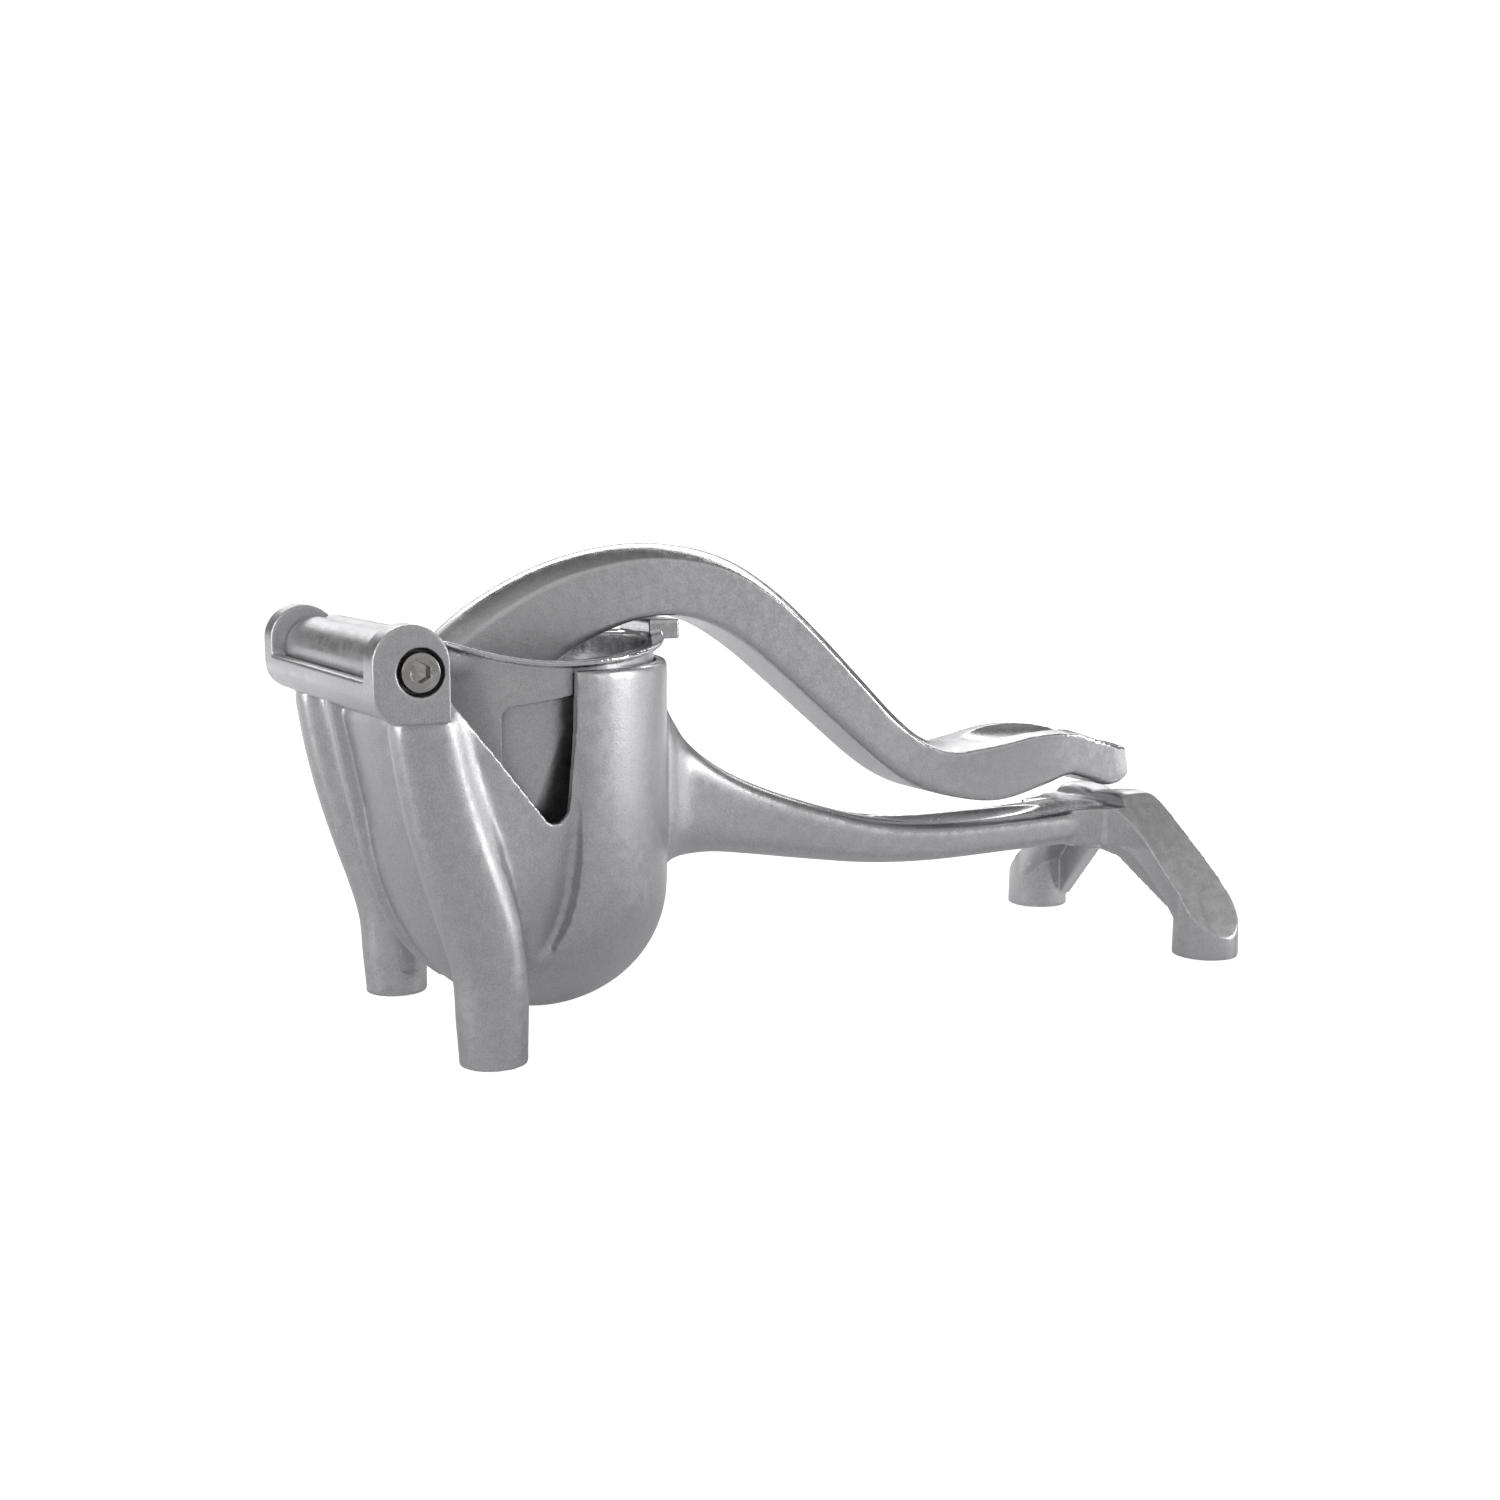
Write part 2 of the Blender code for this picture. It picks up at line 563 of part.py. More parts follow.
def build_basket():
    """Strainer basket: a thin cup with a flanged rim, side windows, a slotted bottom and a rear tab."""
    inner = BASKET_RADIUS - BASKET_WALL
    profile = [(0.0, BASKET_BOTTOM_Z)]
    arc_steps = 6
    for i in range(arc_steps + 1):
        a = -pi / 2 + (pi / 2) * i / arc_steps
        profile.append((BASKET_RADIUS - BASKET_ROUND + BASKET_ROUND * cos(a),
                        BASKET_BOTTOM_Z + BASKET_ROUND + BASKET_ROUND * sin(a)))
    profile += [(BASKET_RADIUS, RIM_Z - 1.0 * MM), (BASKET_RADIUS, RIM_Z), (RIM_RADIUS, RIM_Z),
                (RIM_RADIUS, RIM_Z + RIM_THICKNESS), (inner, RIM_Z + RIM_THICKNESS),
                (inner, RIM_Z - 1.0 * MM)]
    for i in range(arc_steps + 1):
        a = -(pi / 2) * i / arc_steps
        radius = BASKET_ROUND - BASKET_WALL
        profile.append((BASKET_RADIUS - BASKET_ROUND + radius * cos(a),
                        BASKET_BOTTOM_Z + BASKET_ROUND + radius * sin(a)))
    profile.append((0.0, BASKET_BOTTOM_Z + BASKET_WALL))
    basket = turned("strainer_basket", profile[::-1], (CUP_X, 0.0, 0.0), 56)
    for vert in basket.data.vertices:
        if vert.co.z > RIM_Z - 0.5 * MM:
            vert.co.z += rim_lift(vert.co.x)

    tab = box("rear_tab", (CUP_X + inner + 0.2 * MM, -9.0 * MM, 91.6 * MM), (60.4 * MM, 9.0 * MM, 96.4 * MM))
    combine(basket, [tab], "UNION")

    window = [(5.0 * MM, 53.0 * MM), (5.0 * MM, 77.6 * MM), (6.4 * MM, 79.6 * MM), (30.0 * MM, 82.8 * MM),
              (32.0 * MM, 81.2 * MM), (32.0 * MM, 53.0 * MM), (30.0 * MM, 51.0 * MM), (7.0 * MM, 51.0 * MM)]
    cutters = [extruded_outline("window", window, *sorted((side * 20.0 * MM, side * 45.0 * MM)))
               for side in (-1, 1)]
    cutters.append(box("front_opening", (-30.0 * MM, -40.0 * MM, 71.0 * MM), (-6.0 * MM, 40.0 * MM, 0.12)))
    slot_count = 12
    for i in range(slot_count):
        a = 2 * pi * (i + 0.5) / slot_count
        slot = box("slot", (8.0 * MM, -SLOT_WIDTH / 2, 0.0), (21.0 * MM, SLOT_WIDTH / 2, 40.0 * MM))
        slot.data.transform(Matrix.Translation((CUP_X, 0, 0)) @ Matrix.Rotation(a, 4, "Z"))
        cutters.append(slot)
    combine(basket, cutters, "DIFFERENCE")
    tidy_mesh(basket)
    return basket


def hexagon_prism(name, across_flats, low_y, high_y):
    return bolt_hole(name, across_flats / sqrt(3), low_y, high_y, 6)


def build_bolt():
    """Socket head cap screw that is the hinge pin: its head is on the near side, at -Y."""
    seat_y = -(EAR_OUTER_Y - HEAD_RECESS_DEPTH) - GAP / 3
    shank = bolt_hole("hinge_bolt", BOLT_RADIUS, seat_y - 1.0 * MM, EAR_OUTER_Y - 0.6 * MM, 32)
    head = bolt_hole("head", BOLT_HEAD_RADIUS, seat_y - BOLT_HEAD_LENGTH, seat_y, 32)
    bevel_all(head, 0.4 * MM, 2)
    combine(shank, [head], "UNION")
    socket = hexagon_prism("socket", SOCKET_ACROSS_FLATS, seat_y - 10.0 * MM, seat_y - 2.0 * MM)
    combine(shank, [socket], "DIFFERENCE")
    return shank


def build_nut():
    seat_y = EAR_OUTER_Y - HEAD_RECESS_DEPTH + GAP / 3
    nut = hexagon_prism("hinge_nut", NUT_ACROSS_FLATS, seat_y, seat_y + NUT_THICKNESS)
    combine(nut, [bolt_hole("thread", BOLT_RADIUS + 0.06 * MM, -60.0 * MM, 60.0 * MM)], "DIFFERENCE")
    return nut


def build_washer(name, side):
    """Thrust washer between the hub of the lever and an ear."""
    middle = side * (EAR_INNER_Y + HUB_HALF_LENGTH) / 2
    washer = bolt_hole(name, WASHER_OUTER_RADIUS, middle - WASHER_THICKNESS / 2, middle + WASHER_THICKNESS / 2)
    combine(washer, [bolt_hole("eye", BOLT_HOLE_RADIUS, -60.0 * MM, 60.0 * MM)], "DIFFERENCE")
    return washer


def place(item, parent, origin, collection, material):
    """Hangs an object drawn from the datum under its parent, whose origin is given from the datum."""
    for owner in list(item.users_collection):
        owner.objects.unlink(item)
    collection.objects.link(item)
    item.data.transform(Matrix.Translation(-Vector(origin)))
    item.parent = parent
    item.data.materials.clear()
    item.data.materials.append(material)
    item.data.shade_smooth()
    item.data.set_sharp_from_angle(angle=0.6)


def make_empty(name, location, parent, collection):
    empty = bpy.data.objects.new(name, None)
    empty.empty_display_size = 0.02
    empty.location = location
    empty.parent = parent
    collection.objects.link(empty)
    return empty


def main():
    clear_scene()
    parts = make_collection(OBJECT_NAME)
    cast = make_material("cast_aluminium", (0.62, 0.62, 0.63), 0.42, 0.9)
    basket_metal = make_material("basket_aluminium", (0.68, 0.68, 0.69), 0.36, 0.9)
    steel = make_material("hinge_steel", (0.55, 0.54, 0.52), 0.3, 1.0)

    datum = make_empty("front_feet_datum", (DATUM_X, 0.0, 0.0), None, parts)
    hinge_place = (HINGE_X, 0.0, HINGE_Z)
    hinge = make_empty("hinge_axis", hinge_place, datum, parts)

    fixed = [(build_pot(), cast), (build_basket(), basket_metal), (build_bolt(), steel), (build_nut(), steel),
             (build_washer("near_thrust_washer", -1), steel), (build_washer("far_thrust_washer", 1), steel)]
    for item, material in fixed:
        place(item, datum, (0.0, 0.0, 0.0), parts, material)
    place(build_lever(), hinge, hinge_place, parts, cast)


main()
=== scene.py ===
"""Looks of the hand lever fruit press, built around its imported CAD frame.

The three castings, the bolt and the nut are remade with finer shapes than the CAD solids that they
stand for, each on the body that it moves with. The two washers are the CAD's own. The hollows in the
side walls, the fillets by the handle and the parting rib are here only, and not in the CAD. Lengths
are metres. The shapes are drawn from a datum on the ground midway between the two front feet, and
moved to the frame's own origin at the end.
"""
import json
from math import cos, pi, radians, sin, sqrt

import bmesh
import bpy
import numpy as np
from mathutils import Matrix, Vector


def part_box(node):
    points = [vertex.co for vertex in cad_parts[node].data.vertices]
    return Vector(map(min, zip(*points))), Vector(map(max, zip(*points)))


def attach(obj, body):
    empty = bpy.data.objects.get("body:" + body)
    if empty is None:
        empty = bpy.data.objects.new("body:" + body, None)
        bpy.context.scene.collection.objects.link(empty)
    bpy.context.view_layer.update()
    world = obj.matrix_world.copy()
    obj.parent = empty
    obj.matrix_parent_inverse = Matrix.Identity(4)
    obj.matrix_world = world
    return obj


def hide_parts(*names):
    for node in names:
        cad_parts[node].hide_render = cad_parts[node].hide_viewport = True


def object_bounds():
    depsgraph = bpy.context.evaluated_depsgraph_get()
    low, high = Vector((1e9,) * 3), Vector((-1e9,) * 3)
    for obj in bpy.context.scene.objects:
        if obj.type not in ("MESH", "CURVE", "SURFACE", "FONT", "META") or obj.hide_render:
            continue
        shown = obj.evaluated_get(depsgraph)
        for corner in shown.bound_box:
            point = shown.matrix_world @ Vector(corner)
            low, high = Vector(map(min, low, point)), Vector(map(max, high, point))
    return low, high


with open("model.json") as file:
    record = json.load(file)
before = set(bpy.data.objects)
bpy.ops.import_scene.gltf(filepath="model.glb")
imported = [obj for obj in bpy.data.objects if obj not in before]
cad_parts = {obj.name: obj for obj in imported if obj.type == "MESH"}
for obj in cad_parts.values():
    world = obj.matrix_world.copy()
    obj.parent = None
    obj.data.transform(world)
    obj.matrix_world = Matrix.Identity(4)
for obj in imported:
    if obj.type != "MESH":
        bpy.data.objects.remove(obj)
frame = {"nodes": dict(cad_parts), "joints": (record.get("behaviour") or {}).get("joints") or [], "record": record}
cad_low, cad_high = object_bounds()

MM = 0.001

# Places read from the frame
mounts = {mount["name"]: Vector(mount["pos_m"]) for mount in frame["record"]["mounts"]}
DATUM = (mounts["near_front_foot"] + mounts["far_front_foot"]) / 2
hinge_from_datum = Vector(frame["joints"][0]["pos_m"]) - DATUM
HINGE_X, HINGE_Z = hinge_from_datum.x, hinge_from_datum.z
FRONT_FOOT_Y = mounts["far_front_foot"].y
REAR_FOOT_X = mounts["far_rear_foot"].x - DATUM.x
REAR_FOOT_Y = mounts["far_rear_foot"].y
PRESS_END_X = cad_high.x - DATUM.x
PRESS_FRONT_X = cad_low.x - DATUM.x
bolt_low, bolt_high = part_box("hinge_bolt")
nut_low, nut_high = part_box("hinge_nut")

# Feet
FRONT_FOOT_RADIUS = 7.75 * MM
REAR_FOOT_RADIUS = PRESS_END_X - REAR_FOOT_X
REAR_FOOT_HEIGHT = 17.0 * MM

# Cup of the pot
CUP_X = 19.5 * MM
CUP_RADIUS = 37.5 * MM
CUP_WALL = 2.6 * MM
CUP_TOP_Z = 87.6 * MM
CUP_BOTTOM_Z = 2.2 * MM
BOTTOM_X = 24.0 * MM
REAR_ROUND_Z = 32.0 * MM
FRONT_ROUND_Z = 58.0 * MM

# Ears and trough of the hinge
EAR_X = -20.0 * MM
EAR_Z = 91.2 * MM
EAR_RADIUS = EAR_X - PRESS_FRONT_X
EAR_BOTTOM_Z = 78.6 * MM
EAR_CORNER = 7.0 * MM
EAR_OUTER_Y = 45.1 * MM
EAR_INNER_Y = 38.0 * MM
TROUGH_RADIUS = 7.8 * MM
TROUGH_LIP_Z = 87.6 * MM
BOLT_HOLE_RADIUS = 2.56 * MM
HEAD_RECESS_RADIUS = 5.2 * MM
HEAD_RECESS_DEPTH = 4.5 * MM

# Side notches of the pot
NOTCH_REAR_X = 21.8 * MM
NOTCH_FRONT_X = -11.0 * MM
NOTCH_FRONT_Z = 84.0 * MM
NOTCH_CORNER_X = 15.9 * MM
NOTCH_CORNER_Z = 56.4 * MM
NOTCH_CORNER_RADIUS = 3.4 * MM

# Lever
HUB_RADIUS = 7.3 * MM
HUB_HALF_LENGTH = 36.6 * MM
HEAD_TOP_Z = 83.5 * MM
HEAD_BOTTOM_Z = 29.5 * MM

# Strainer basket
BASKET_RADIUS = 34.3 * MM
BASKET_WALL = 1.7 * MM
BASKET_BOTTOM_Z = 23.0 * MM
BASKET_ROUND = 34.0 * MM
RIM_RADIUS = 36.8 * MM
RIM_Z = 88.5 * MM
RIM_THICKNESS = 1.3 * MM
FRONT_LIFT = 10.0 * MM
REAR_LIFT = 3.6 * MM

# Places that cutters run past: above every rim of the pot, and outside both flanks
ABOVE_RIMS_Z = 105.0 * MM
OUTSIDE_Y = 60.0 * MM

# Fineness of the remade castings
FINE = 0.42 * MM
COARSE = 0.9 * MM
MOST_TRIANGLES = 190_000

# Rounds of smoothing: the blend of cup, legs and walls, then the edges of the valleys cut in them
BLEND_ROUNDS = 56
VALLEY_ROUNDS = 8

# Metal left between a valley and the cup's inside
VALLEY_WALL = 2.2 * MM

# Noise of the metals: features in a metre, and bump heights in metres
GRAIN_SCALE = 2400.0
MOTTLE_SCALE = 420.0
BROAD_SCALE = 38.0
STROKE_SCALE = 900.0
GRAIN_HEIGHT = 0.00006
STROKE_HEIGHT = 0.00008
BROAD_HEIGHT = 0.0008


# ---------------------------------------------------------------- mesh tools

def link(name, mesh):
    item = bpy.data.objects.new(name, mesh)
    bpy.context.scene.collection.objects.link(item)
    return item


def object_from_bmesh(name, shape):
    bmesh.ops.recalc_face_normals(shape, faces=shape.faces)
    mesh = bpy.data.meshes.new(name)
    shape.to_mesh(mesh)
    shape.free()
    return link(name, mesh)


def apply_modifiers(item):
    depsgraph = bpy.context.evaluated_depsgraph_get()
    mesh = bpy.data.meshes.new_from_object(item.evaluated_get(depsgraph))
    old_mesh = item.data
    item.modifiers.clear()
    item.data = mesh
    bpy.data.meshes.remove(old_mesh)


def combine(target, tools, operation):
    """Joins or cuts a target with tools, and removes the tools."""
    for tool in tools:
        modifier = target.modifiers.new("combine", "BOOLEAN")
        modifier.operation = operation
        modifier.solver = "EXACT"
        modifier.object = tool
        apply_modifiers(target)
        bpy.data.objects.remove(tool, do_unlink=True)


def merge(name, items):
    """Puts several closed shapes into one mesh, for a remesh to weld."""
    shape = bmesh.new()
    for item in items:
        shape.from_mesh(item.data)
        bpy.data.objects.remove(item, do_unlink=True)
    mesh = bpy.data.meshes.new(name)
    shape.to_mesh(mesh)
    shape.free()
    return link(name, mesh)


def reskin(item, voxel, rounds):
    """Gives a shape one even skin, and softens its corners as a casting's are."""
    remesh = item.modifiers.new("skin", "REMESH")
    remesh.mode = "VOXEL"
    remesh.voxel_size = voxel
    smooth = item.modifiers.new("soften", "SMOOTH")
    smooth.factor = 0.5
    smooth.iterations = rounds
    apply_modifiers(item)


def soften_where(item, rounds, weight):
    """Smooths a skin by an amount that depends on the height, given in mm."""
    group = item.vertex_groups.new(name="soften")
    for vert in item.data.vertices:
        group.add([vert.index], weight(vert.co.z / MM), "REPLACE")
    smooth = item.modifiers.new("soften", "SMOOTH")
    smooth.factor = 0.5
    smooth.iterations = rounds
    smooth.vertex_group = group.name
    apply_modifiers(item)
    item.vertex_groups.clear()


def thin_out(item):
    """Brings a skin down to the most triangles that a piece may have."""
    item.data.calc_loop_triangles()
    count = len(item.data.loop_triangles)
    if count > MOST_TRIANGLES:
        decimate = item.modifiers.new("thin", "DECIMATE")
        decimate.ratio = MOST_TRIANGLES / count
        apply_modifiers(item)


def box(name, low, high):
    shape = bmesh.new()
    bmesh.ops.create_cube(shape, size=1.0)
    for vert in shape.verts:
        for axis in range(3):
            middle = (low[axis] + high[axis]) / 2
            vert.co[axis] = middle + vert.co[axis] * (high[axis] - low[axis])
    return object_from_bmesh(name, shape)


def cylinder(name, radius, start, end, sides=64, end_radius=None):
    """A cylinder or cone between two points."""
    shape = bmesh.new()
    length = (Vector(end) - Vector(start)).length
    bmesh.ops.create_cone(shape, cap_ends=True, segments=sides, radius1=radius,
                          radius2=radius if end_radius is None else end_radius, depth=length)
    direction = Vector((0, 0, 1)).rotation_difference(Vector(end) - Vector(start))
    place = Matrix.Translation((Vector(start) + Vector(end)) / 2) @ direction.to_matrix().to_4x4()
    bmesh.ops.transform(shape, matrix=place, verts=shape.verts)
    return object_from_bmesh(name, shape)


def cross_cylinder(name, radius, low_y, high_y, sides=64):
    """A cylinder along the hinge axis."""
    return cylinder(name, radius, (HINGE_X, low_y, HINGE_Z), (HINGE_X, high_y, HINGE_Z), sides)


def ellipsoid(name, centre, radii, sides=64):
    shape = bmesh.new()
    bmesh.ops.create_uvsphere(shape, u_segments=sides, v_segments=sides // 2, radius=1.0)
    bmesh.ops.transform(shape, matrix=Matrix.LocRotScale(Vector(centre), None, Vector(radii)),
                        verts=shape.verts)
    return object_from_bmesh(name, shape)


def extruded_outline(name, points, low_y, high_y):
    """A closed outline in the XZ plane, extruded along Y."""
    shape = bmesh.new()
    face = shape.faces.new([shape.verts.new((x, low_y, z)) for x, z in points])
    grown = bmesh.ops.extrude_face_region(shape, geom=[face])
    moved = [part for part in grown["geom"] if isinstance(part, bmesh.types.BMVert)]
    bmesh.ops.translate(shape, vec=Vector((0, high_y - low_y, 0)), verts=moved)
    return object_from_bmesh(name, shape)


def loft(name, rings):
    """A closed skin over rings of equally many points, with its two ends closed."""
    shape = bmesh.new()
    loops = [[shape.verts.new(point) for point in ring] for ring in rings]
    count = len(loops[0])
    for lower, upper in zip(loops, loops[1:]):
        for i in range(count):
            j = (i + 1) % count
            shape.faces.new((lower[i], lower[j], upper[j], upper[i]))
    shape.faces.new(loops[0][::-1])
    shape.faces.new(loops[-1])
    return object_from_bmesh(name, shape)


def turned(name, profile, centre, sides):
    """A profile of (radius, height) pairs turned about a vertical axis by a Screw modifier."""
    mesh = bpy.data.meshes.new(name)
    points = [(radius, 0.0, height) for radius, height in profile]
    mesh.from_pydata(points, [(i, i + 1) for i in range(len(points) - 1)], [])
    item = link(name, mesh)
    screw = item.modifiers.new("turn", "SCREW")
    screw.steps = sides
    screw.render_steps = sides
    screw.use_merge_vertices = True
    screw.merge_threshold = 0.00001
    apply_modifiers(item)
    shape = bmesh.new()
    shape.from_mesh(item.data)
    bmesh.ops.translate(shape, vec=Vector(centre), verts=shape.verts)
    bmesh.ops.remove_doubles(shape, verts=shape.verts, dist=0.00001)
    bpy.data.objects.remove(item, do_unlink=True)
    return object_from_bmesh(name, shape)


def ellipse_ring(x, y, z, radius_x, radius_y, count):
    angles = [2 * pi * i / count for i in range(count)]
    return [(x + radius_x * cos(a), y + radius_y * sin(a), z) for a in angles]


def block_ring(width, height, power, count):
    """Offsets of a rounded rectangle, from a superellipse: pairs across and up."""
    offsets = []
    for i in range(count):
        a = 2 * pi * i / count
        across = width * abs(cos(a)) ** (2 / power) * (1 if cos(a) >= 0 else -1)
        up = height * abs(sin(a)) ** (2 / power) * (1 if sin(a) >= 0 else -1)
        offsets.append((across, up))
    return offsets


def smooth_stations(stations, steps):
    """Reads more stations from a smooth curve through the given ones (Catmull-Rom)."""
    result = []
    last = len(stations) - 1
    for i in range(last):
        a, b = stations[max(i - 1, 0)], stations[i]
        c, d = stations[i + 1], stations[min(i + 2, last)]
        for k in range(steps):
            t = k / steps
            result.append(tuple(
                0.5 * (2 * q + (r - p) * t + (2 * p - 5 * q + 4 * r - s) * t ** 2
                       + (3 * q - p - 3 * r + s) * t ** 3)
                for p, q, r, s in zip(a, b, c, d)))
    result.append(stations[last])
    return result


# ---------------------------------------------------------------- pot

def cup_reach(z, round_z, bottom_z, reach):
    """How far the cup reaches from its lowest point at a height: full above round_z, then an ellipse."""
    if z >= round_z:
        return reach
    depth = (round_z - z) / (round_z - bottom_z)
    return reach * sqrt(max(1 - depth ** 2, 0.0))


def cup_rings(shrink, top_z, count=128, levels=36):
    """Rings of the cup: upright above, with a bottom that is rounder at the rear than at the front."""
    rings = []
    bottom = CUP_BOTTOM_Z + shrink
    for i in range(levels + 1):
        z = bottom + (top_z - bottom) * (1 - cos(pi / 2 * i / levels)) ** 1.2
        rear = cup_reach(z, REAR_ROUND_Z, bottom, CUP_X + CUP_RADIUS - BOTTOM_X - shrink)
        front = cup_reach(z, FRONT_ROUND_Z, bottom, BOTTOM_X - (CUP_X - CUP_RADIUS) - shrink)
        radius = max((rear + front) / 2, 0.5 * MM)
        rings.append(ellipse_ring(BOTTOM_X + (rear - front) / 2, 0.0, z, radius, radius, count))
    return rings


def leg_column(side):
    """Front leg: a rib with a flat outer face below the ear, which ends as a round foot."""
    # height, front, rear, inner and outer edges in mm, and how square the section is
    stations = [(0.0, -7.75, 7.75, 27.25, 42.75, 2.0), (10.0, -8.5, 8.1, 27.5, 42.9, 2.0),
                (20.0, -9.3, 8.2, 27.8, 43.2, 2.1), (30.0, -12.0, 6.6, 28.4, 43.2, 2.5),
                (42.0, -15.8, 2.6, 29.2, 43.2, 2.9), (55.0, -19.4, -2.2, 30.2, 43.2, 3.1),
                (67.0, -21.8, -5.6, 31.0, 43.3, 3.1), (79.5, -23.6, -8.2, 31.4, 43.4, 3.1)]
    rings = []
    for z, front, rear, inner, outer, power in smooth_stations(stations, 5):
        offsets = block_ring((rear - front) / 2 * MM, (outer - inner) / 2 * MM, power, 48)
        middle_x, middle_y = (front + rear) / 2 * MM, side * (inner + outer) / 2 * MM
        rings.append([(middle_x + dx, middle_y + dy, z * MM) for dx, dy in offsets])
    return loft("leg_column", rings)


def front_panel():
    """Front wall between the legs, bulging forward to carry the trough."""
    # height, front edge, half width in mm
    stations = [(30.0, -9.6, 20.0), (38.0, -13.4, 24.0), (48.0, -16.5, 29.5), (60.0, -19.2, 34.5),
                (72.0, -21.6, 37.0), (80.0, -23.4, 38.0)]
    back_x = 2.0 * MM
    rings = [[(back_x + dx, dy, z * MM) for dx, dy in
              block_ring(back_x - front * MM, half_width * MM, 2.8, 96)]
             for z, front, half_width in smooth_stations(stations, 5)]
    return loft("front_panel", rings)


def parting_keel():
    """Low rib down the middle of the front, where the halves of the mould met."""
    # height, how far forward, half width in mm
    stations = [(12.0, -0.5, 0.8), (17.0, -6.2, 0.9), (23.7, -11.4, 1.1), (30.0, -14.6, 1.3),
                (37.7, -17.4, 1.5), (50.0, -20.3, 1.7), (64.0, -23.0, 1.8), (79.5, -25.8, 1.9)]
    rings = []
    for z, front, half_width in smooth_stations(stations, 5):
        depth = 5.0 * MM
        offsets = block_ring(depth, half_width * MM, 3.2, 24)
        rings.append([(front * MM + depth + dx, dy, z * MM) for dx, dy in offsets])
    return loft("parting_keel", rings)


def side_web(side):
    """Flat wall between a front leg and the notch, which leans outwards towards the leg."""
    outline = [(-16.0, 84.0), (-6.0, 84.0), (20.5, 58.0), (20.5, 42.0), (10.0, 30.0), (-8.0, 26.0)]
    rear_x, rear_y, lean = 20.5, 37.4, 0.085
    inner = [(x * MM, side * 28.0 * MM, z * MM) for x, z in outline]
    outer = [(x * MM, side * (rear_y + (rear_x - x) * lean) * MM, z * MM) for x, z in outline]
    return loft("side_web", [inner, outer])


def ear_outline():
    """Ear and trough seen from the side: an arc above, and a rounded corner below at the front."""
    points = [(EAR_X + EAR_RADIUS, EAR_BOTTOM_Z)]
    corner_steps = 16
    for i in range(corner_steps + 1):
        a = -pi / 2 - pi / 2 * i / corner_steps
        points.append((EAR_X - EAR_RADIUS + EAR_CORNER * (1 + cos(a)),
                       EAR_BOTTOM_Z + EAR_CORNER * (1 + sin(a))))
    arc_steps = 48
    for i in range(arc_steps + 1):
        a = pi - pi * i / arc_steps
        points.append((EAR_X + EAR_RADIUS * cos(a), EAR_Z + EAR_RADIUS * sin(a)))
    return points


def handle_loft():
    """Lower handle, from the rear wall of the cup to the fork, with flat sides and a flat top."""
    # x, top, bottom, half width in mm
    stations = [(50.0, 86.0, 28.5, 16.5), (55.0, 78.0, 33.4, 14.6), (58.5, 72.4, 35.4, 12.8),
                (63.0, 66.2, 36.2, 11.4), (71.0, 59.6, 36.2, 10.7), (82.0, 53.6, 34.6, 10.4),
                (98.0, 47.4, 31.9, 10.6), (118.0, 41.4, 29.0, 11.0), (138.0, 38.6, 27.9, 11.4),
                (164.0, 38.2, 28.2, 11.8), (190.0, 39.0, 28.4, 12.2), (203.0, 39.6, 29.0, 12.4)]
    rings = []
    for x, top, bottom, half_width in smooth_stations(stations, 6):
        middle, height = (top + bottom) / 2 * MM, (top - bottom) / 2 * MM
        rings.append([(x * MM, across, middle + up)
                      for across, up in block_ring(half_width * MM, height, 4.0, 72)])
    return loft("handle", rings)


def rear_leg(side):
    """Bar from the end of the handle down to a rear foot."""
    # across, front edge, rear edge, top, bottom in mm
    stations = [(-1.0, 198.0, 208.0, 41.4, 28.0), (11.0, 198.0, 210.5, 42.6, 26.6),
                (20.0, 198.4, 213.4, 39.0, 23.4), (29.0, 199.6, 216.4, 29.0, 15.0),
                (36.0, 201.0, 218.0, 21.0, 6.0), (41.5, 203.0, 217.0, 14.0, 3.0)]
    rings = []
    for across, front, rear, top, bottom in smooth_stations(stations, 6):
        centre_x, centre_z = (front + rear) / 2 * MM, (top + bottom) / 2 * MM
        rings.append([(centre_x + dx, side * across * MM, centre_z + dz) for dx, dz in
                      block_ring((rear - front) / 2 * MM, (top - bottom) / 2 * MM, 5.0, 56)])
    return loft("rear_leg", rings)


def rear_web(side):
    """Plate along the rear edge of a rear bar, which reaches further down than the bar."""
    # across and height in mm
    outline = [(-2.0, 30.0), (-2.0, 24.5), (6.3, 22.6), (19.4, 12.1), (30.0, 3.6), (36.4, 3.6), (36.4, 15.0),
               (29.0, 24.0), (11.0, 36.0)]
    middle_x, slant, thickness = 206.4, 0.327, 4.5
    rings = [[((middle_x + slant * y + shift) * MM, side * y * MM, z * MM) for y, z in outline]
             for shift in (-thickness, 0.0)]
    return loft("rear_web", rings)


def rear_slope_cut(side):
    """Cuts a rear foot and its bar off along one sloping plane, so that the top of both is flat."""
    outline = [(side * 13.0 * MM, 42.6 * MM), (side * 48.0 * MM, 4.6 * MM), (side * 60.0 * MM, 4.6 * MM),
               (side * 60.0 * MM, 60.0 * MM), (side * 13.0 * MM, 60.0 * MM)]
    return loft("slope_cut", [[(x, y, z) for y, z in outline] for x in (185.0 * MM, 230.0 * MM)])


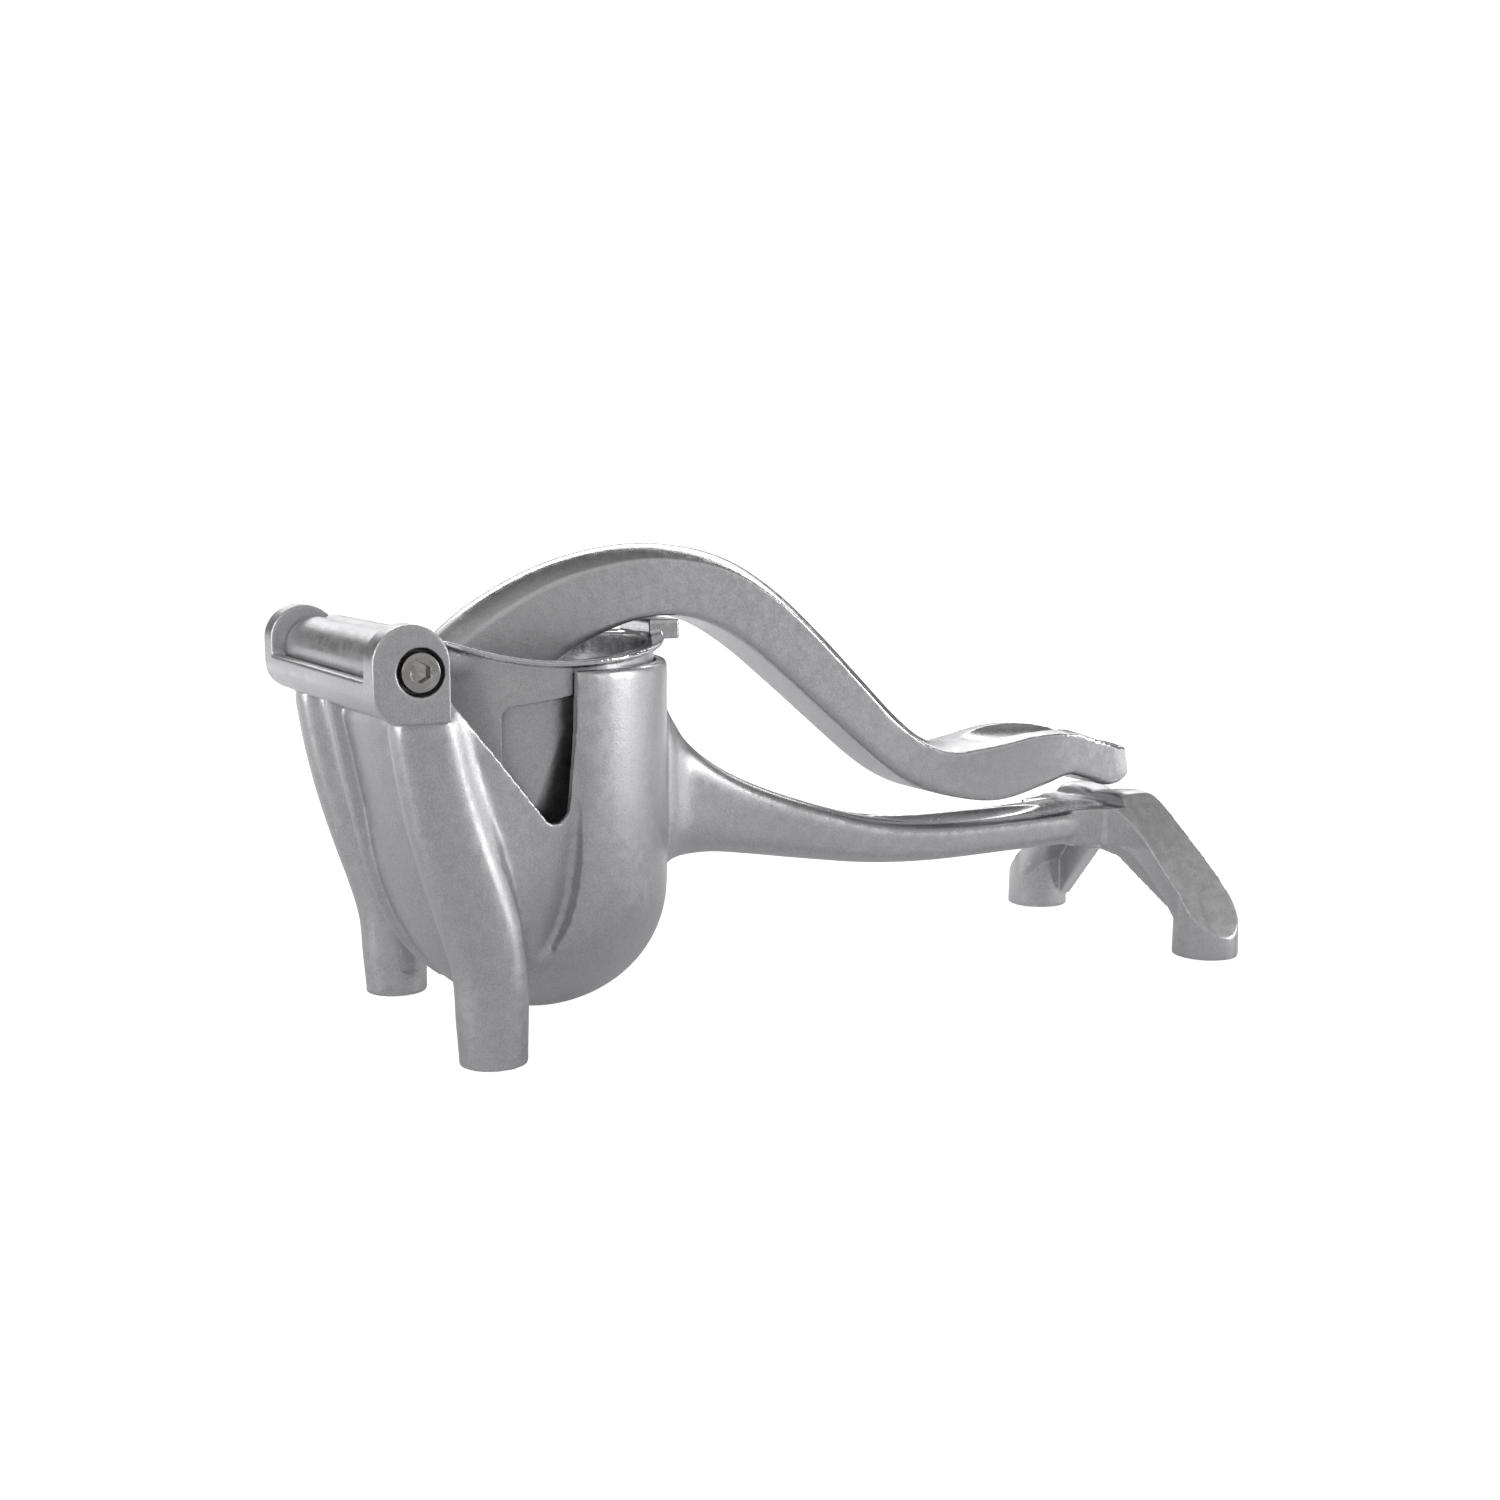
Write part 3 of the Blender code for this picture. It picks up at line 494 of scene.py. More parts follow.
def notch_cutter(side):
    """Notch in the side wall: V-shaped, with a rounded corner at its foot."""
    points = [(NOTCH_FRONT_X, ABOVE_RIMS_Z), (NOTCH_FRONT_X, NOTCH_FRONT_Z)]
    slope = Vector((NOTCH_CORNER_X - NOTCH_FRONT_X, NOTCH_CORNER_Z - NOTCH_FRONT_Z)).normalized()
    start_angle = (-slope.orthogonal()).angle_signed(Vector((1, 0)))
    arc_steps = 16
    for i in range(arc_steps + 1):
        a = start_angle * (1 - i / arc_steps)
        points.append((NOTCH_CORNER_X + NOTCH_CORNER_RADIUS * cos(a),
                       NOTCH_CORNER_Z + NOTCH_CORNER_RADIUS * sin(a)))
    points.append((NOTCH_REAR_X, ABOVE_RIMS_Z))
    low_y, high_y = sorted((side * 18.0 * MM, side * OUTSIDE_Y))
    return extruded_outline("notch", points, low_y, high_y)


def valley(side, grow):
    """Hollow in the side wall, which runs from the leg to a crease in line with the notch's rear edge."""
    # height, front edge, rear edge, distances of the floor from the middle at both edges in mm
    stations = [(18.0, 10.6, 13.0, 29.4, 28.2), (23.0, 8.4, 16.8, 31.6, 28.2), (29.0, 6.6, 19.4, 34.0, 29.6),
                (36.0, 5.0, 20.8, 36.2, 31.3), (44.0, 2.6, 21.5, 37.7, 33.1), (52.0, 0.0, 21.6, 38.6, 34.4),
                (60.0, -2.5, 21.6, 39.2, 35.6), (70.0, -5.0, 21.6, 39.6, 36.8)]
    outside = 8.0
    rings = []
    for z, front, rear, front_y, rear_y in smooth_stations(stations, 5):
        rear += grow / MM
        middle = ((front + rear) / 2, (front_y + rear_y) / 2 - 0.2)
        points = [(front, front_y + outside), (front, front_y), middle,
                  (rear - 0.6, rear_y), (rear, rear_y + 0.6), (rear, front_y + outside)]
        rings.append([(x * MM, side * (y * MM - grow), z * MM) for x, y in points])
    return loft("valley", rings)


def knee(side):
    """Fillet, seen from above, between the side of the handle and the front of a rear bar."""
    reach, start_x, handle_y = 17.0, 182.5, 11.9
    outline = [(start_x, 9.0), (start_x, handle_y)]
    steps = 12
    for i in range(1, steps + 1):
        a = pi / 2 * i / steps
        outline.append((start_x + reach * sin(a), handle_y + reach * (1 - cos(a))))
    outline += [(start_x + reach + 2.0, handle_y + reach), (start_x + reach + 2.0, 9.0)]
    return loft("knee", [[(x * MM, side * y * MM, z) for x, y in outline] for z in (28.4 * MM, 38.8 * MM)])


def build_pot():
    """One casting: cup, front legs, ears and trough, lower handle and rear legs."""
    shell = [loft("cup", cup_rings(0.0, CUP_TOP_Z)), front_panel()]
    for side in (-1, 1):
        shell += [leg_column(side), side_web(side)]
    pot = merge("pot_casting", shell)
    reskin(pot, COARSE, 6)
    soften_where(pot, BLEND_ROUNDS, lambda z: float(ramp(z, 8.0, 26.0) * (1 - ramp(z, 78.0, 84.0))))
    combine(pot, [valley(side, 0.0) for side in (-1, 1)], "DIFFERENCE")
    reskin(pot, COARSE, 1)
    soften_where(pot, VALLEY_ROUNDS, lambda z: float(ramp(z, 14.0, 20.0) * (1 - ramp(z, 60.0, 66.0))))

    ears = extruded_outline("ears", ear_outline(), -EAR_OUTER_Y, EAR_OUTER_Y)
    crisp = [handle_loft(), parting_keel(), ears]
    for side in (-1, 1):
        crisp += [rear_leg(side), rear_web(side), knee(side)]
        crisp.append(cylinder("rear_foot", REAR_FOOT_RADIUS, (REAR_FOOT_X, side * REAR_FOOT_Y, 0.0),
                              (REAR_FOOT_X, side * REAR_FOOT_Y, REAR_FOOT_HEIGHT), 72,
                              REAR_FOOT_RADIUS * 0.97))
        crisp.append(cylinder("front_foot", FRONT_FOOT_RADIUS, (0.0, side * FRONT_FOOT_Y, 0.0),
                              (0.0, side * FRONT_FOOT_Y, 6.0 * MM), 72))
    combine(pot, crisp, "UNION")

    cavity = loft("cavity", cup_rings(CUP_WALL, ABOVE_RIMS_Z, 96, 24))
    combine(cavity, [valley(side, VALLEY_WALL) for side in (-1, 1)], "DIFFERENCE")
    hub_space = box("hub_space", (-40.0 * MM, -EAR_INNER_Y, TROUGH_LIP_Z),
                    (-4.0 * MM, EAR_INNER_Y, ABOVE_RIMS_Z))
    cutters = [cavity, hub_space, cross_cylinder("trough", TROUGH_RADIUS, -EAR_INNER_Y, EAR_INNER_Y),
               box("neck_space", (HINGE_X, -13.0 * MM, 76.0 * MM), (0.0, 13.0 * MM, ABOVE_RIMS_Z)),
               ellipsoid("dish", (152.0 * MM, 0.0, 43.0 * MM), (33.0 * MM, 9.4 * MM, 8.2 * MM)),
               cross_cylinder("bolt_hole", BOLT_HOLE_RADIUS, -OUTSIDE_Y, OUTSIDE_Y)]
    for side in (-1, 1):
        cutters += [notch_cutter(side), rear_slope_cut(side)]
        low_y, high_y = sorted((side * (EAR_OUTER_Y - HEAD_RECESS_DEPTH), side * OUTSIDE_Y))
        cutters.append(cross_cylinder("head_recess", HEAD_RECESS_RADIUS, low_y, high_y))
    combine(pot, cutters, "DIFFERENCE")
    reskin(pot, FINE, 3)
    return pot


# ---------------------------------------------------------------- lever

# x and z of the centre line, thickness, half width in mm
ARM_STATIONS = [(-2.0, 77.2, 22.0, 9.0), (5.0, 83.6, 22.0, 9.2), (16.0, 92.2, 21.8, 9.4),
                (30.5, 100.3, 20.2, 9.6), (46.0, 105.1, 18.4, 9.8), (59.5, 105.9, 17.4, 9.8),
                (73.0, 102.9, 17.6, 9.8), (85.3, 95.9, 17.4, 9.8), (97.2, 86.2, 16.8, 9.8),
                (110.8, 74.0, 15.6, 9.8), (124.0, 62.2, 14.2, 10.0), (133.0, 56.0, 13.4, 10.6),
                (143.0, 52.4, 13.6, 11.8), (156.0, 51.8, 16.2, 13.4), (169.0, 54.3, 15.4, 14.4),
                (180.0, 55.5, 12.8, 14.2), (189.0, 53.3, 12.2, 13.2), (197.0, 50.8, 12.4, 11.4),
                (202.4, 50.9, 10.6, 10.0), (204.6, 51.2, 8.6, 8.8)]
CROWN = 3.6 * MM
CROWN_END_X = 120.0 * MM
CROWN_FADE = 40.0 * MM
ARM_CORNER = 2.0 * MM


def arm_section(half_width, thickness, crown, count=20):
    """Section of the arm, across and up: a crowned top that meets flat sides in an edge, softer below."""
    points = []
    for i in range(count + 1):
        t = 1 - 2 * i / count
        points.append((half_width * t, thickness / 2 - crown * t * t))
    corner = min(ARM_CORNER, half_width / 2)
    for start, side in ((pi, -1), (-pi / 2, 1)):
        for i in range(count // 2 + 1):
            a = start + pi * i / (count // 2) / 2
            points.append((side * (half_width - corner) + corner * cos(a),
                           corner - thickness / 2 + corner * sin(a)))
    return points


def arm_rings():
    """Rings of the lever arm, square to its centre line."""
    smooth = smooth_stations(ARM_STATIONS, 6)
    rings = []
    for i, (x, z, thickness, half_width) in enumerate(smooth):
        before, after = smooth[max(i - 1, 0)], smooth[min(i + 1, len(smooth) - 1)]
        along = Vector((after[0] - before[0], 0.0, after[1] - before[1])).normalized()
        up = Vector((-along.z, 0.0, along.x))
        flattening = min(max((x * MM - CROWN_END_X) / CROWN_FADE, 0.0), 0.75)
        section = arm_section(half_width * MM, thickness * MM, CROWN * (1 - flattening))
        rings.append([Vector((x * MM, across, z * MM)) + up * rise for across, rise in section])
    return rings


def press_head():
    """Press head: the part of a ring about the hinge that also stays inside the basket."""
    swing_radius = CUP_X - HINGE_X
    head_radius = BASKET_RADIUS - BASKET_WALL - 1.6 * MM
    steps_round, steps_along = 96, 24
    start, end = -1.62, -0.12
    rings = []
    for k in range(steps_along + 1):
        swing = start + (end - start) * k / steps_along
        ring = []
        for i in range(steps_round):
            a = 2 * pi * i / steps_round
            reach = swing_radius + head_radius * cos(a)
            ring.append((HINGE_X + reach * cos(swing), head_radius * sin(a), HINGE_Z + reach * sin(swing)))
        rings.append(ring)
    head = loft("press_head", rings)
    keep = turned("head_limit", [(0.0, HEAD_TOP_Z), (head_radius - 0.4 * MM, HEAD_TOP_Z),
                                 (head_radius, 56.0 * MM), (head_radius - 2.0 * MM, 45.0 * MM),
                                 (head_radius - 7.6 * MM, 36.0 * MM), (head_radius - 16.0 * MM, 31.0 * MM),
                                 (0.0, HEAD_BOTTOM_Z)], (CUP_X, 0.0, 0.0), 96)
    combine(head, [keep], "INTERSECT")
    return head


def build_lever():
    """One casting: hub, arm with thumb rest, and press head."""
    lever = loft("lever_casting", arm_rings())
    hub = cross_cylinder("hub", HUB_RADIUS, -HUB_HALF_LENGTH, HUB_HALF_LENGTH, 96)
    stop_rib = box("stop_rib", (-14.8 * MM, -36.0 * MM, 88.0 * MM), (-11.6 * MM, 36.0 * MM, 97.2 * MM))
    neck_outline = [(-19.0 * MM, 83.6 * MM), (-6.0 * MM, 74.0 * MM), (8.0 * MM, 72.0 * MM),
                    (8.0 * MM, 90.0 * MM), (-4.0 * MM, 88.0 * MM), (-14.0 * MM, 93.6 * MM)]
    neck = extruded_outline("neck", neck_outline, -9.6 * MM, 9.6 * MM)
    lever = merge("lever_casting", [lever, hub, stop_rib, neck, press_head()])
    reskin(lever, FINE, 0)
    thumb_dish = ellipsoid("thumb_dish", (169.0 * MM, 0.0, 67.0 * MM), (27.0 * MM, 11.4 * MM, 9.4 * MM))
    bore = cross_cylinder("bore", BOLT_HOLE_RADIUS, -OUTSIDE_Y, OUTSIDE_Y)
    combine(lever, [thumb_dish, bore], "DIFFERENCE")
    reskin(lever, FINE, 3)
    return lever


# ---------------------------------------------------------------- basket

def rim_lift(x):
    """Height that the basket's rim gains towards the hinge and towards the rear."""
    away = (x - CUP_X) / RIM_RADIUS
    return (FRONT_LIFT if away < 0 else REAR_LIFT) * away ** 2


def build_basket():
    """Strainer basket: a thin cup with a flanged rim, side windows, a slotted bottom and a rear tab."""
    inner = BASKET_RADIUS - BASKET_WALL
    profile = [(0.0, BASKET_BOTTOM_Z)]
    arc_steps = 20
    for i in range(arc_steps + 1):
        a = -pi / 2 + (pi / 2) * i / arc_steps
        profile.append((BASKET_RADIUS - BASKET_ROUND + BASKET_ROUND * cos(a),
                        BASKET_BOTTOM_Z + BASKET_ROUND + BASKET_ROUND * sin(a)))
    profile += [(BASKET_RADIUS, RIM_Z - 1.0 * MM), (BASKET_RADIUS, RIM_Z), (RIM_RADIUS, RIM_Z),
                (RIM_RADIUS, RIM_Z + RIM_THICKNESS), (inner, RIM_Z + RIM_THICKNESS),
                (inner, RIM_Z - 1.0 * MM)]
    for i in range(arc_steps + 1):
        a = -(pi / 2) * i / arc_steps
        radius = BASKET_ROUND - BASKET_WALL
        profile.append((BASKET_RADIUS - BASKET_ROUND + radius * cos(a),
                        BASKET_BOTTOM_Z + BASKET_ROUND + radius * sin(a)))
    profile.append((0.0, BASKET_BOTTOM_Z + BASKET_WALL))
    basket = turned("basket_casting", profile[::-1], (CUP_X, 0.0, 0.0), 144)
    for vert in basket.data.vertices:
        if vert.co.z > RIM_Z - 0.5 * MM:
            vert.co.z += rim_lift(vert.co.x)

    tab = box("rear_tab", (CUP_X + inner + 0.2 * MM, -9.0 * MM, 91.6 * MM), (60.4 * MM, 9.0 * MM, 96.4 * MM))
    combine(basket, [tab], "UNION")
    window = [(5.0, 53.0), (5.0, 77.6), (6.4, 79.6), (30.0, 82.8), (32.0, 81.2), (32.0, 53.0), (30.0, 51.0),
              (7.0, 51.0)]
    outline = [(x * MM, z * MM) for x, z in window]
    cutters = [extruded_outline("window", outline, *sorted((side * 20.0 * MM, side * 45.0 * MM)))
               for side in (-1, 1)]
    cutters.append(box("front_opening", (-30.0 * MM, -40.0 * MM, 71.0 * MM), (-6.0 * MM, 40.0 * MM, 0.12)))
    slot_count, slot_width = 12, 2.6 * MM
    for i in range(slot_count):
        a = 2 * pi * (i + 0.5) / slot_count
        slot = box("slot", (8.0 * MM, -slot_width / 2, 0.0), (21.0 * MM, slot_width / 2, 40.0 * MM))
        slot.data.transform(Matrix.Translation((CUP_X, 0, 0)) @ Matrix.Rotation(a, 4, "Z"))
        cutters.append(slot)
    combine(basket, cutters, "DIFFERENCE")
    reskin(basket, FINE * 0.9, 2)
    return basket


# ---------------------------------------------------------------- hinge hardware

def bevelled(item, width, segments=4):
    modifier = item.modifiers.new("round_edges", "BEVEL")
    modifier.width = width
    modifier.segments = segments
    modifier.limit_method = "ANGLE"
    modifier.angle_limit = 0.6
    apply_modifiers(item)
    return item


def build_bolt():
    """Socket head cap screw: head on the near side, with a chamfered hexagon socket."""
    head_length, head_radius, shank_radius = 4.6 * MM, 4.3 * MM, 2.5 * MM
    seat_y = bolt_low.y + head_length
    shank = cross_cylinder("hinge_bolt_detail", shank_radius, seat_y - 1.0 * MM, bolt_high.y, 64)
    head = bevelled(cross_cylinder("head", head_radius, bolt_low.y, seat_y, 96), 0.5 * MM)
    combine(shank, [head], "UNION")
    across_corners = 4.0 * MM / sqrt(3)
    socket = cross_cylinder("socket", across_corners, bolt_low.y - 1.0 * MM, bolt_low.y + 3.4 * MM, 6)
    lead_in = cylinder("lead_in", across_corners * 1.2, (HINGE_X, bolt_low.y - 0.2 * MM, HINGE_Z),
                       (HINGE_X, bolt_low.y + 0.3 * MM, HINGE_Z), 64, across_corners * 0.9)
    combine(shank, [socket, lead_in], "DIFFERENCE")
    return bevelled(shank, 0.08 * MM, 2)


def build_nut():
    """Hexagon nut with chamfered corners on the far end of the bolt."""
    across_corners = 8.0 * MM / sqrt(3)
    nut = cross_cylinder("hinge_nut_detail", across_corners, nut_low.y, nut_high.y, 6)
    round_off = cross_cylinder("round_off", across_corners * 0.99, nut_low.y, nut_high.y, 96)
    combine(nut, [bevelled(round_off, 0.6 * MM)], "INTERSECT")
    thread = cross_cylinder("thread", BOLT_HOLE_RADIUS, nut_low.y - 1.0 * MM, nut_high.y + 1.0 * MM)
    combine(nut, [thread], "DIFFERENCE")
    return bevelled(nut, 0.1 * MM, 2)


# ---------------------------------------------------------------- materials

def node(tree, kind, **values):
    made = tree.nodes.new(kind)
    for name, value in values.items():
        if hasattr(made, name):
            setattr(made, name, value)
        else:
            made.inputs[name.replace("_", " ")].default_value = value
    return made


def noise(tree, coordinates, scale, detail=3.0, stretch=(1, 1, 1)):
    """Noise texture output, optionally stretched along an axis."""
    mapping = node(tree, "ShaderNodeMapping")
    mapping.inputs["Scale"].default_value = stretch
    tree.links.new(coordinates, mapping.inputs["Vector"])
    texture = node(tree, "ShaderNodeTexNoise", Scale=scale, Detail=detail)
    tree.links.new(mapping.outputs["Vector"], texture.inputs["Vector"])
    return texture.outputs["Fac"]


def spread(tree, value, low, high, to_low=0.0, to_high=1.0):
    """Maps a value from one range to another, smoothly."""
    ranged = node(tree, "ShaderNodeMapRange")
    ranged.interpolation_type = "SMOOTHSTEP"
    ranged.inputs["From Min"].default_value = low
    ranged.inputs["From Max"].default_value = high
    ranged.inputs["To Min"].default_value = to_low
    ranged.inputs["To Max"].default_value = to_high
    tree.links.new(value, ranged.inputs["Value"])
    return ranged.outputs["Result"]


def compute(tree, operation, first, second):
    """One arithmetic step between two values, each a number or a socket."""
    made = node(tree, "ShaderNodeMath", operation=operation)
    for socket, value in zip(made.inputs, (first, second)):
        if isinstance(value, (int, float)):
            socket.default_value = value
        else:
            tree.links.new(value, socket)
    return made.outputs["Value"]


def mix_colour(tree, factor, first, second):
    made = node(tree, "ShaderNodeMix", data_type="RGBA")
    tree.links.new(factor, made.inputs["Factor"])
    for socket, value in ((made.inputs[6], first), (made.inputs[7], second)):
        if isinstance(value, tuple):
            socket.default_value = (*value, 1.0)
        else:
            tree.links.new(value, socket)
    return made.outputs[2]


def metal(name, colour, bright, dull, roughness, grain, unevenness):
    """Blasted cast metal: fine grain, faint mottling, brighter worn edges and filed areas, and painted shade that
    darkens the hollows.
    """
    material = bpy.data.materials.new(name)
    material.use_nodes = True
    tree = material.node_tree
    shader = tree.nodes["Principled BSDF"]
    shader.inputs["Metallic"].default_value = 1.0
    place = node(tree, "ShaderNodeTexCoord").outputs["Object"]
    pointiness = node(tree, "ShaderNodeNewGeometry").outputs["Pointiness"]
    filed = node(tree, "ShaderNodeAttribute", attribute_name="filed").outputs["Fac"]

    fine = noise(tree, place, GRAIN_SCALE, 2.0)
    mottle = noise(tree, place, MOTTLE_SCALE, 4.0)
    broad = noise(tree, place, BROAD_SCALE, 2.0)
    strokes = noise(tree, place, STROKE_SCALE, 2.0, (1.0, 0.07, 1.0))

    edge = compute(tree, "MULTIPLY", spread(tree, pointiness, 0.52, 0.58),
                   spread(tree, mottle, 0.3, 0.6, 0.45, 1.0))
    worn = compute(tree, "MAXIMUM", edge, compute(tree, "MULTIPLY", filed, 0.4))
    # Painted shade: hollows and creases (low pointiness) are given a darker colour, as if shade fell in them
    painted_hollow_shade = spread(tree, pointiness, 0.49, 0.44)

    tone = mix_colour(tree, spread(tree, fine, 0.3, 0.7), dull, colour)
    tone = mix_colour(tree, compute(tree, "MULTIPLY", spread(tree, mottle, 0.35, 0.7), 0.15), tone, bright)
    tone = mix_colour(tree, compute(tree, "MULTIPLY", worn, 0.6), tone, bright)
    # Painted shade in the hollows: the colour is pulled towards a dimmed dull grey there
    tone = mix_colour(tree, compute(tree, "MULTIPLY", painted_hollow_shade, 0.35), tone, tuple(c * 0.6 for c in dull))
    tree.links.new(tone, shader.inputs["Base Color"])

    rough = compute(tree, "ADD", spread(tree, mottle, 0.25, 0.75, roughness - 0.06, roughness + 0.06),
                    spread(tree, broad, 0.3, 0.7, -0.03, 0.03))
    rough = compute(tree, "SUBTRACT", rough, compute(tree, "MULTIPLY", edge, 0.08))
    rough = compute(tree, "SUBTRACT", rough, compute(tree, "MULTIPLY", filed, 0.2))
    tree.links.new(rough, shader.inputs["Roughness"])

    calm = compute(tree, "SUBTRACT", 1.0, compute(tree, "MULTIPLY", filed, 0.7))
    grain_bump = node(tree, "ShaderNodeBump", Distance=GRAIN_HEIGHT)
    tree.links.new(compute(tree, "MULTIPLY", calm, grain), grain_bump.inputs["Strength"])
    tree.links.new(fine, grain_bump.inputs["Height"])
    stroke_bump = node(tree, "ShaderNodeBump", Distance=STROKE_HEIGHT)
    tree.links.new(compute(tree, "MULTIPLY", filed, 0.6), stroke_bump.inputs["Strength"])
    tree.links.new(strokes, stroke_bump.inputs["Height"])
    tree.links.new(grain_bump.outputs["Normal"], stroke_bump.inputs["Normal"])
    broad_bump = node(tree, "ShaderNodeBump", Strength=unevenness, Distance=BROAD_HEIGHT)
    tree.links.new(broad, broad_bump.inputs["Height"])
    tree.links.new(stroke_bump.outputs["Normal"], broad_bump.inputs["Normal"])
    tree.links.new(broad_bump.outputs["Normal"], shader.inputs["Normal"])
    return material


def give_filed(item, weight):
    """Stores how filed each vertex is, from its place and normal, for the material to read."""
    mesh = item.data
    count = len(mesh.vertices)
    places, normals = np.zeros(count * 3), np.zeros(count * 3)
    mesh.vertices.foreach_get("co", places)
    mesh.vertices.foreach_get("normal", normals)
    values = weight(places.reshape(-1, 3) / MM, normals.reshape(-1, 3))
    attribute = mesh.attributes.new("filed", "FLOAT", "POINT")
    attribute.data.foreach_set("value", np.clip(values, 0, 1).astype(np.float32))


def ramp(values, low, high):
    share = np.clip((values - low) / (high - low), 0, 1)
    return share * share * (3 - 2 * share)


def lever_filed(place, normal):
    """The arm's top and upper edges, the sides of the thumb rest, and the tip are filed."""
    stations = np.array(smooth_stations(ARM_STATIONS, 4))
    order = np.argsort(stations[:, 0])
    middle = np.interp(place[:, 0], stations[order, 0], stations[order, 1])
    half = np.interp(place[:, 0], stations[order, 0], stations[order, 2]) / 2
    above = (place[:, 2] - middle) / half
    on_arm = ramp(place[:, 0], 2.0, 12.0)
    top = ramp(above, 0.45, 0.75) * on_arm * ramp(-place[:, 0], -142.0, -130.0)
    thumb = ramp(place[:, 0], 132.0, 146.0) * ramp(np.abs(normal[:, 1]), 0.3, 0.7) * 0.8
    tip = ramp(place[:, 0], 176.0, 184.0)
    return np.maximum(np.maximum(top, thumb), tip)


def pot_filed(place, normal):
    """The cup's top edge, the handle's upper edges, and the feet are filed or machined."""
    rim = ramp(place[:, 2], 86.4, 87.4) * (place[:, 0] > -10.0)
    along_handle = ramp(place[:, 0], 66.0, 80.0) * ramp(-place[:, 0], -198.0, -192.0)
    handle = along_handle * ramp(normal[:, 2], 0.15, 0.45)
    upright = 1 - ramp(np.abs(normal[:, 2]), 0.25, 0.5)
    feet = ramp(-place[:, 2], -24.0, -6.0) * (np.abs(place[:, 1]) > 26.0) * upright * 0.5
    return np.maximum(np.maximum(rim, handle * 0.8), feet)


def basket_filed(place, normal):
    """The basket's bent rim is filed. Every weight is given the normals, and this one has no use for them."""
    rim_level = RIM_Z / MM + 0.2
    away = (place[:, 0] - CUP_X / MM) / (RIM_RADIUS / MM)
    lift = np.where(away < 0, FRONT_LIFT / MM, REAR_LIFT / MM) * away ** 2
    return ramp(place[:, 2] - lift, rim_level - 0.8, rim_level + 0.4)


def finish_piece(item, material, body, nodes):
    item.data.transform(Matrix.Translation(DATUM))
    item.data.materials.clear()
    item.data.materials.append(material)
    item.data.shade_smooth()
    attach(item, body)
    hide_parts(*nodes)


# ---------------------------------------------------------------- stage, light and camera

# The camera that fits the photo: its heading, downward tilt, lens in mm, and place from the datum in mm
HEADING, TILT = radians(28.83), radians(7.86)
CAMERA_LENS = 43.152
CAMERA_PLACE = (-138.375, -406.125, 125.0)
TO_CAMERA = Vector((-sin(HEADING), -cos(HEADING), 0.0))
CAMERA_RIGHT = Vector((cos(HEADING), -sin(HEADING), 0.0))

# Point that the lights are aimed at, from the datum in mm
LIGHT_AIM = (60.0, 0.0, 55.0)

# What the object reflects: grey of the world on the camera's side and behind, by direction, and glow
# of the floor on the camera's side and behind, by metres towards the camera
WORLD_FRONT, WORLD_BACK = 0.52, 0.15
WORLD_FRONT_AT, WORLD_BACK_AT = 0.6, -0.7
FLOOR_FRONT, FLOOR_BACK = 0.12, 0.80
FLOOR_FRONT_AT, FLOOR_BACK_AT = 0.05, -0.40
FLOOR_COLOUR = (0.55, 0.55, 0.56, 1.0)
FLOOR_GLOW = 0.90


def camera_share(tree, seen, unseen):
    """A shader that the camera sees, and a different one that lights the object."""
    path = tree.nodes.new("ShaderNodeLightPath")
    mix = tree.nodes.new("ShaderNodeMixShader")
    tree.links.new(path.outputs["Is Camera Ray"], mix.inputs[0])
    tree.links.new(unseen, mix.inputs[1])
    tree.links.new(seen, mix.inputs[2])
    return mix.outputs[0]


def build_stage():
    shape = bmesh.new()
    bmesh.ops.create_grid(shape, x_segments=1, y_segments=1, size=6.0)
    floor = object_from_bmesh("floor", shape)
    floor.location.z = -0.0002
    material = bpy.data.materials.new("pale_floor")
    material.use_nodes = True
    tree = material.node_tree
    tree.nodes.clear()
    matt = node(tree, "ShaderNodeBsdfDiffuse")
    matt.inputs["Color"].default_value = FLOOR_COLOUR
    lit = node(tree, "ShaderNodeAddShader")
    glow = node(tree, "ShaderNodeEmission", Strength=FLOOR_GLOW)
    tree.links.new(matt.outputs[0], lit.inputs[0])
    tree.links.new(glow.outputs[0], lit.inputs[1])
    place = node(tree, "ShaderNodeNewGeometry").outputs["Position"]
    nearness = node(tree, "ShaderNodeVectorMath", operation="DOT_PRODUCT")
    nearness.inputs[1].default_value = TO_CAMERA
    tree.links.new(place, nearness.inputs[0])
    bounce = node(tree, "ShaderNodeEmission")
    strength = spread(tree, nearness.outputs["Value"], FLOOR_BACK_AT, FLOOR_FRONT_AT, FLOOR_BACK, FLOOR_FRONT)
    tree.links.new(strength, bounce.inputs["Strength"])
    reflected = node(tree, "ShaderNodeAddShader")
    tree.links.new(matt.outputs[0], reflected.inputs[0])
    tree.links.new(bounce.outputs[0], reflected.inputs[1])
    output = node(tree, "ShaderNodeOutputMaterial")
    tree.links.new(camera_share(tree, lit.outputs[0], reflected.outputs[0]), output.inputs["Surface"])
    floor.data.materials.append(material)


def build_world():
    world = bpy.data.worlds.new("studio")
    bpy.context.scene.world = world
    world.use_nodes = True
    tree = world.node_tree
    tree.nodes.clear()
    seen = node(tree, "ShaderNodeBackground", Strength=1.0)
    seen.inputs["Color"].default_value = (1.0, 1.0, 1.0, 1.0)
    unseen = node(tree, "ShaderNodeBackground", Strength=1.0)
    direction = node(tree, "ShaderNodeTexCoord").outputs["Generated"]
    towards = node(tree, "ShaderNodeVectorMath", operation="DOT_PRODUCT")
    towards.inputs[1].default_value = TO_CAMERA
    tree.links.new(direction, towards.inputs[0])
    shade = spread(tree, towards.outputs["Value"], WORLD_BACK_AT, WORLD_FRONT_AT, WORLD_BACK, WORLD_FRONT)
    tree.links.new(shade, unseen.inputs["Color"])
    output = node(tree, "ShaderNodeOutputWorld")
    tree.links.new(camera_share(tree, seen.outputs[0], unseen.outputs[0]), output.inputs["Surface"])


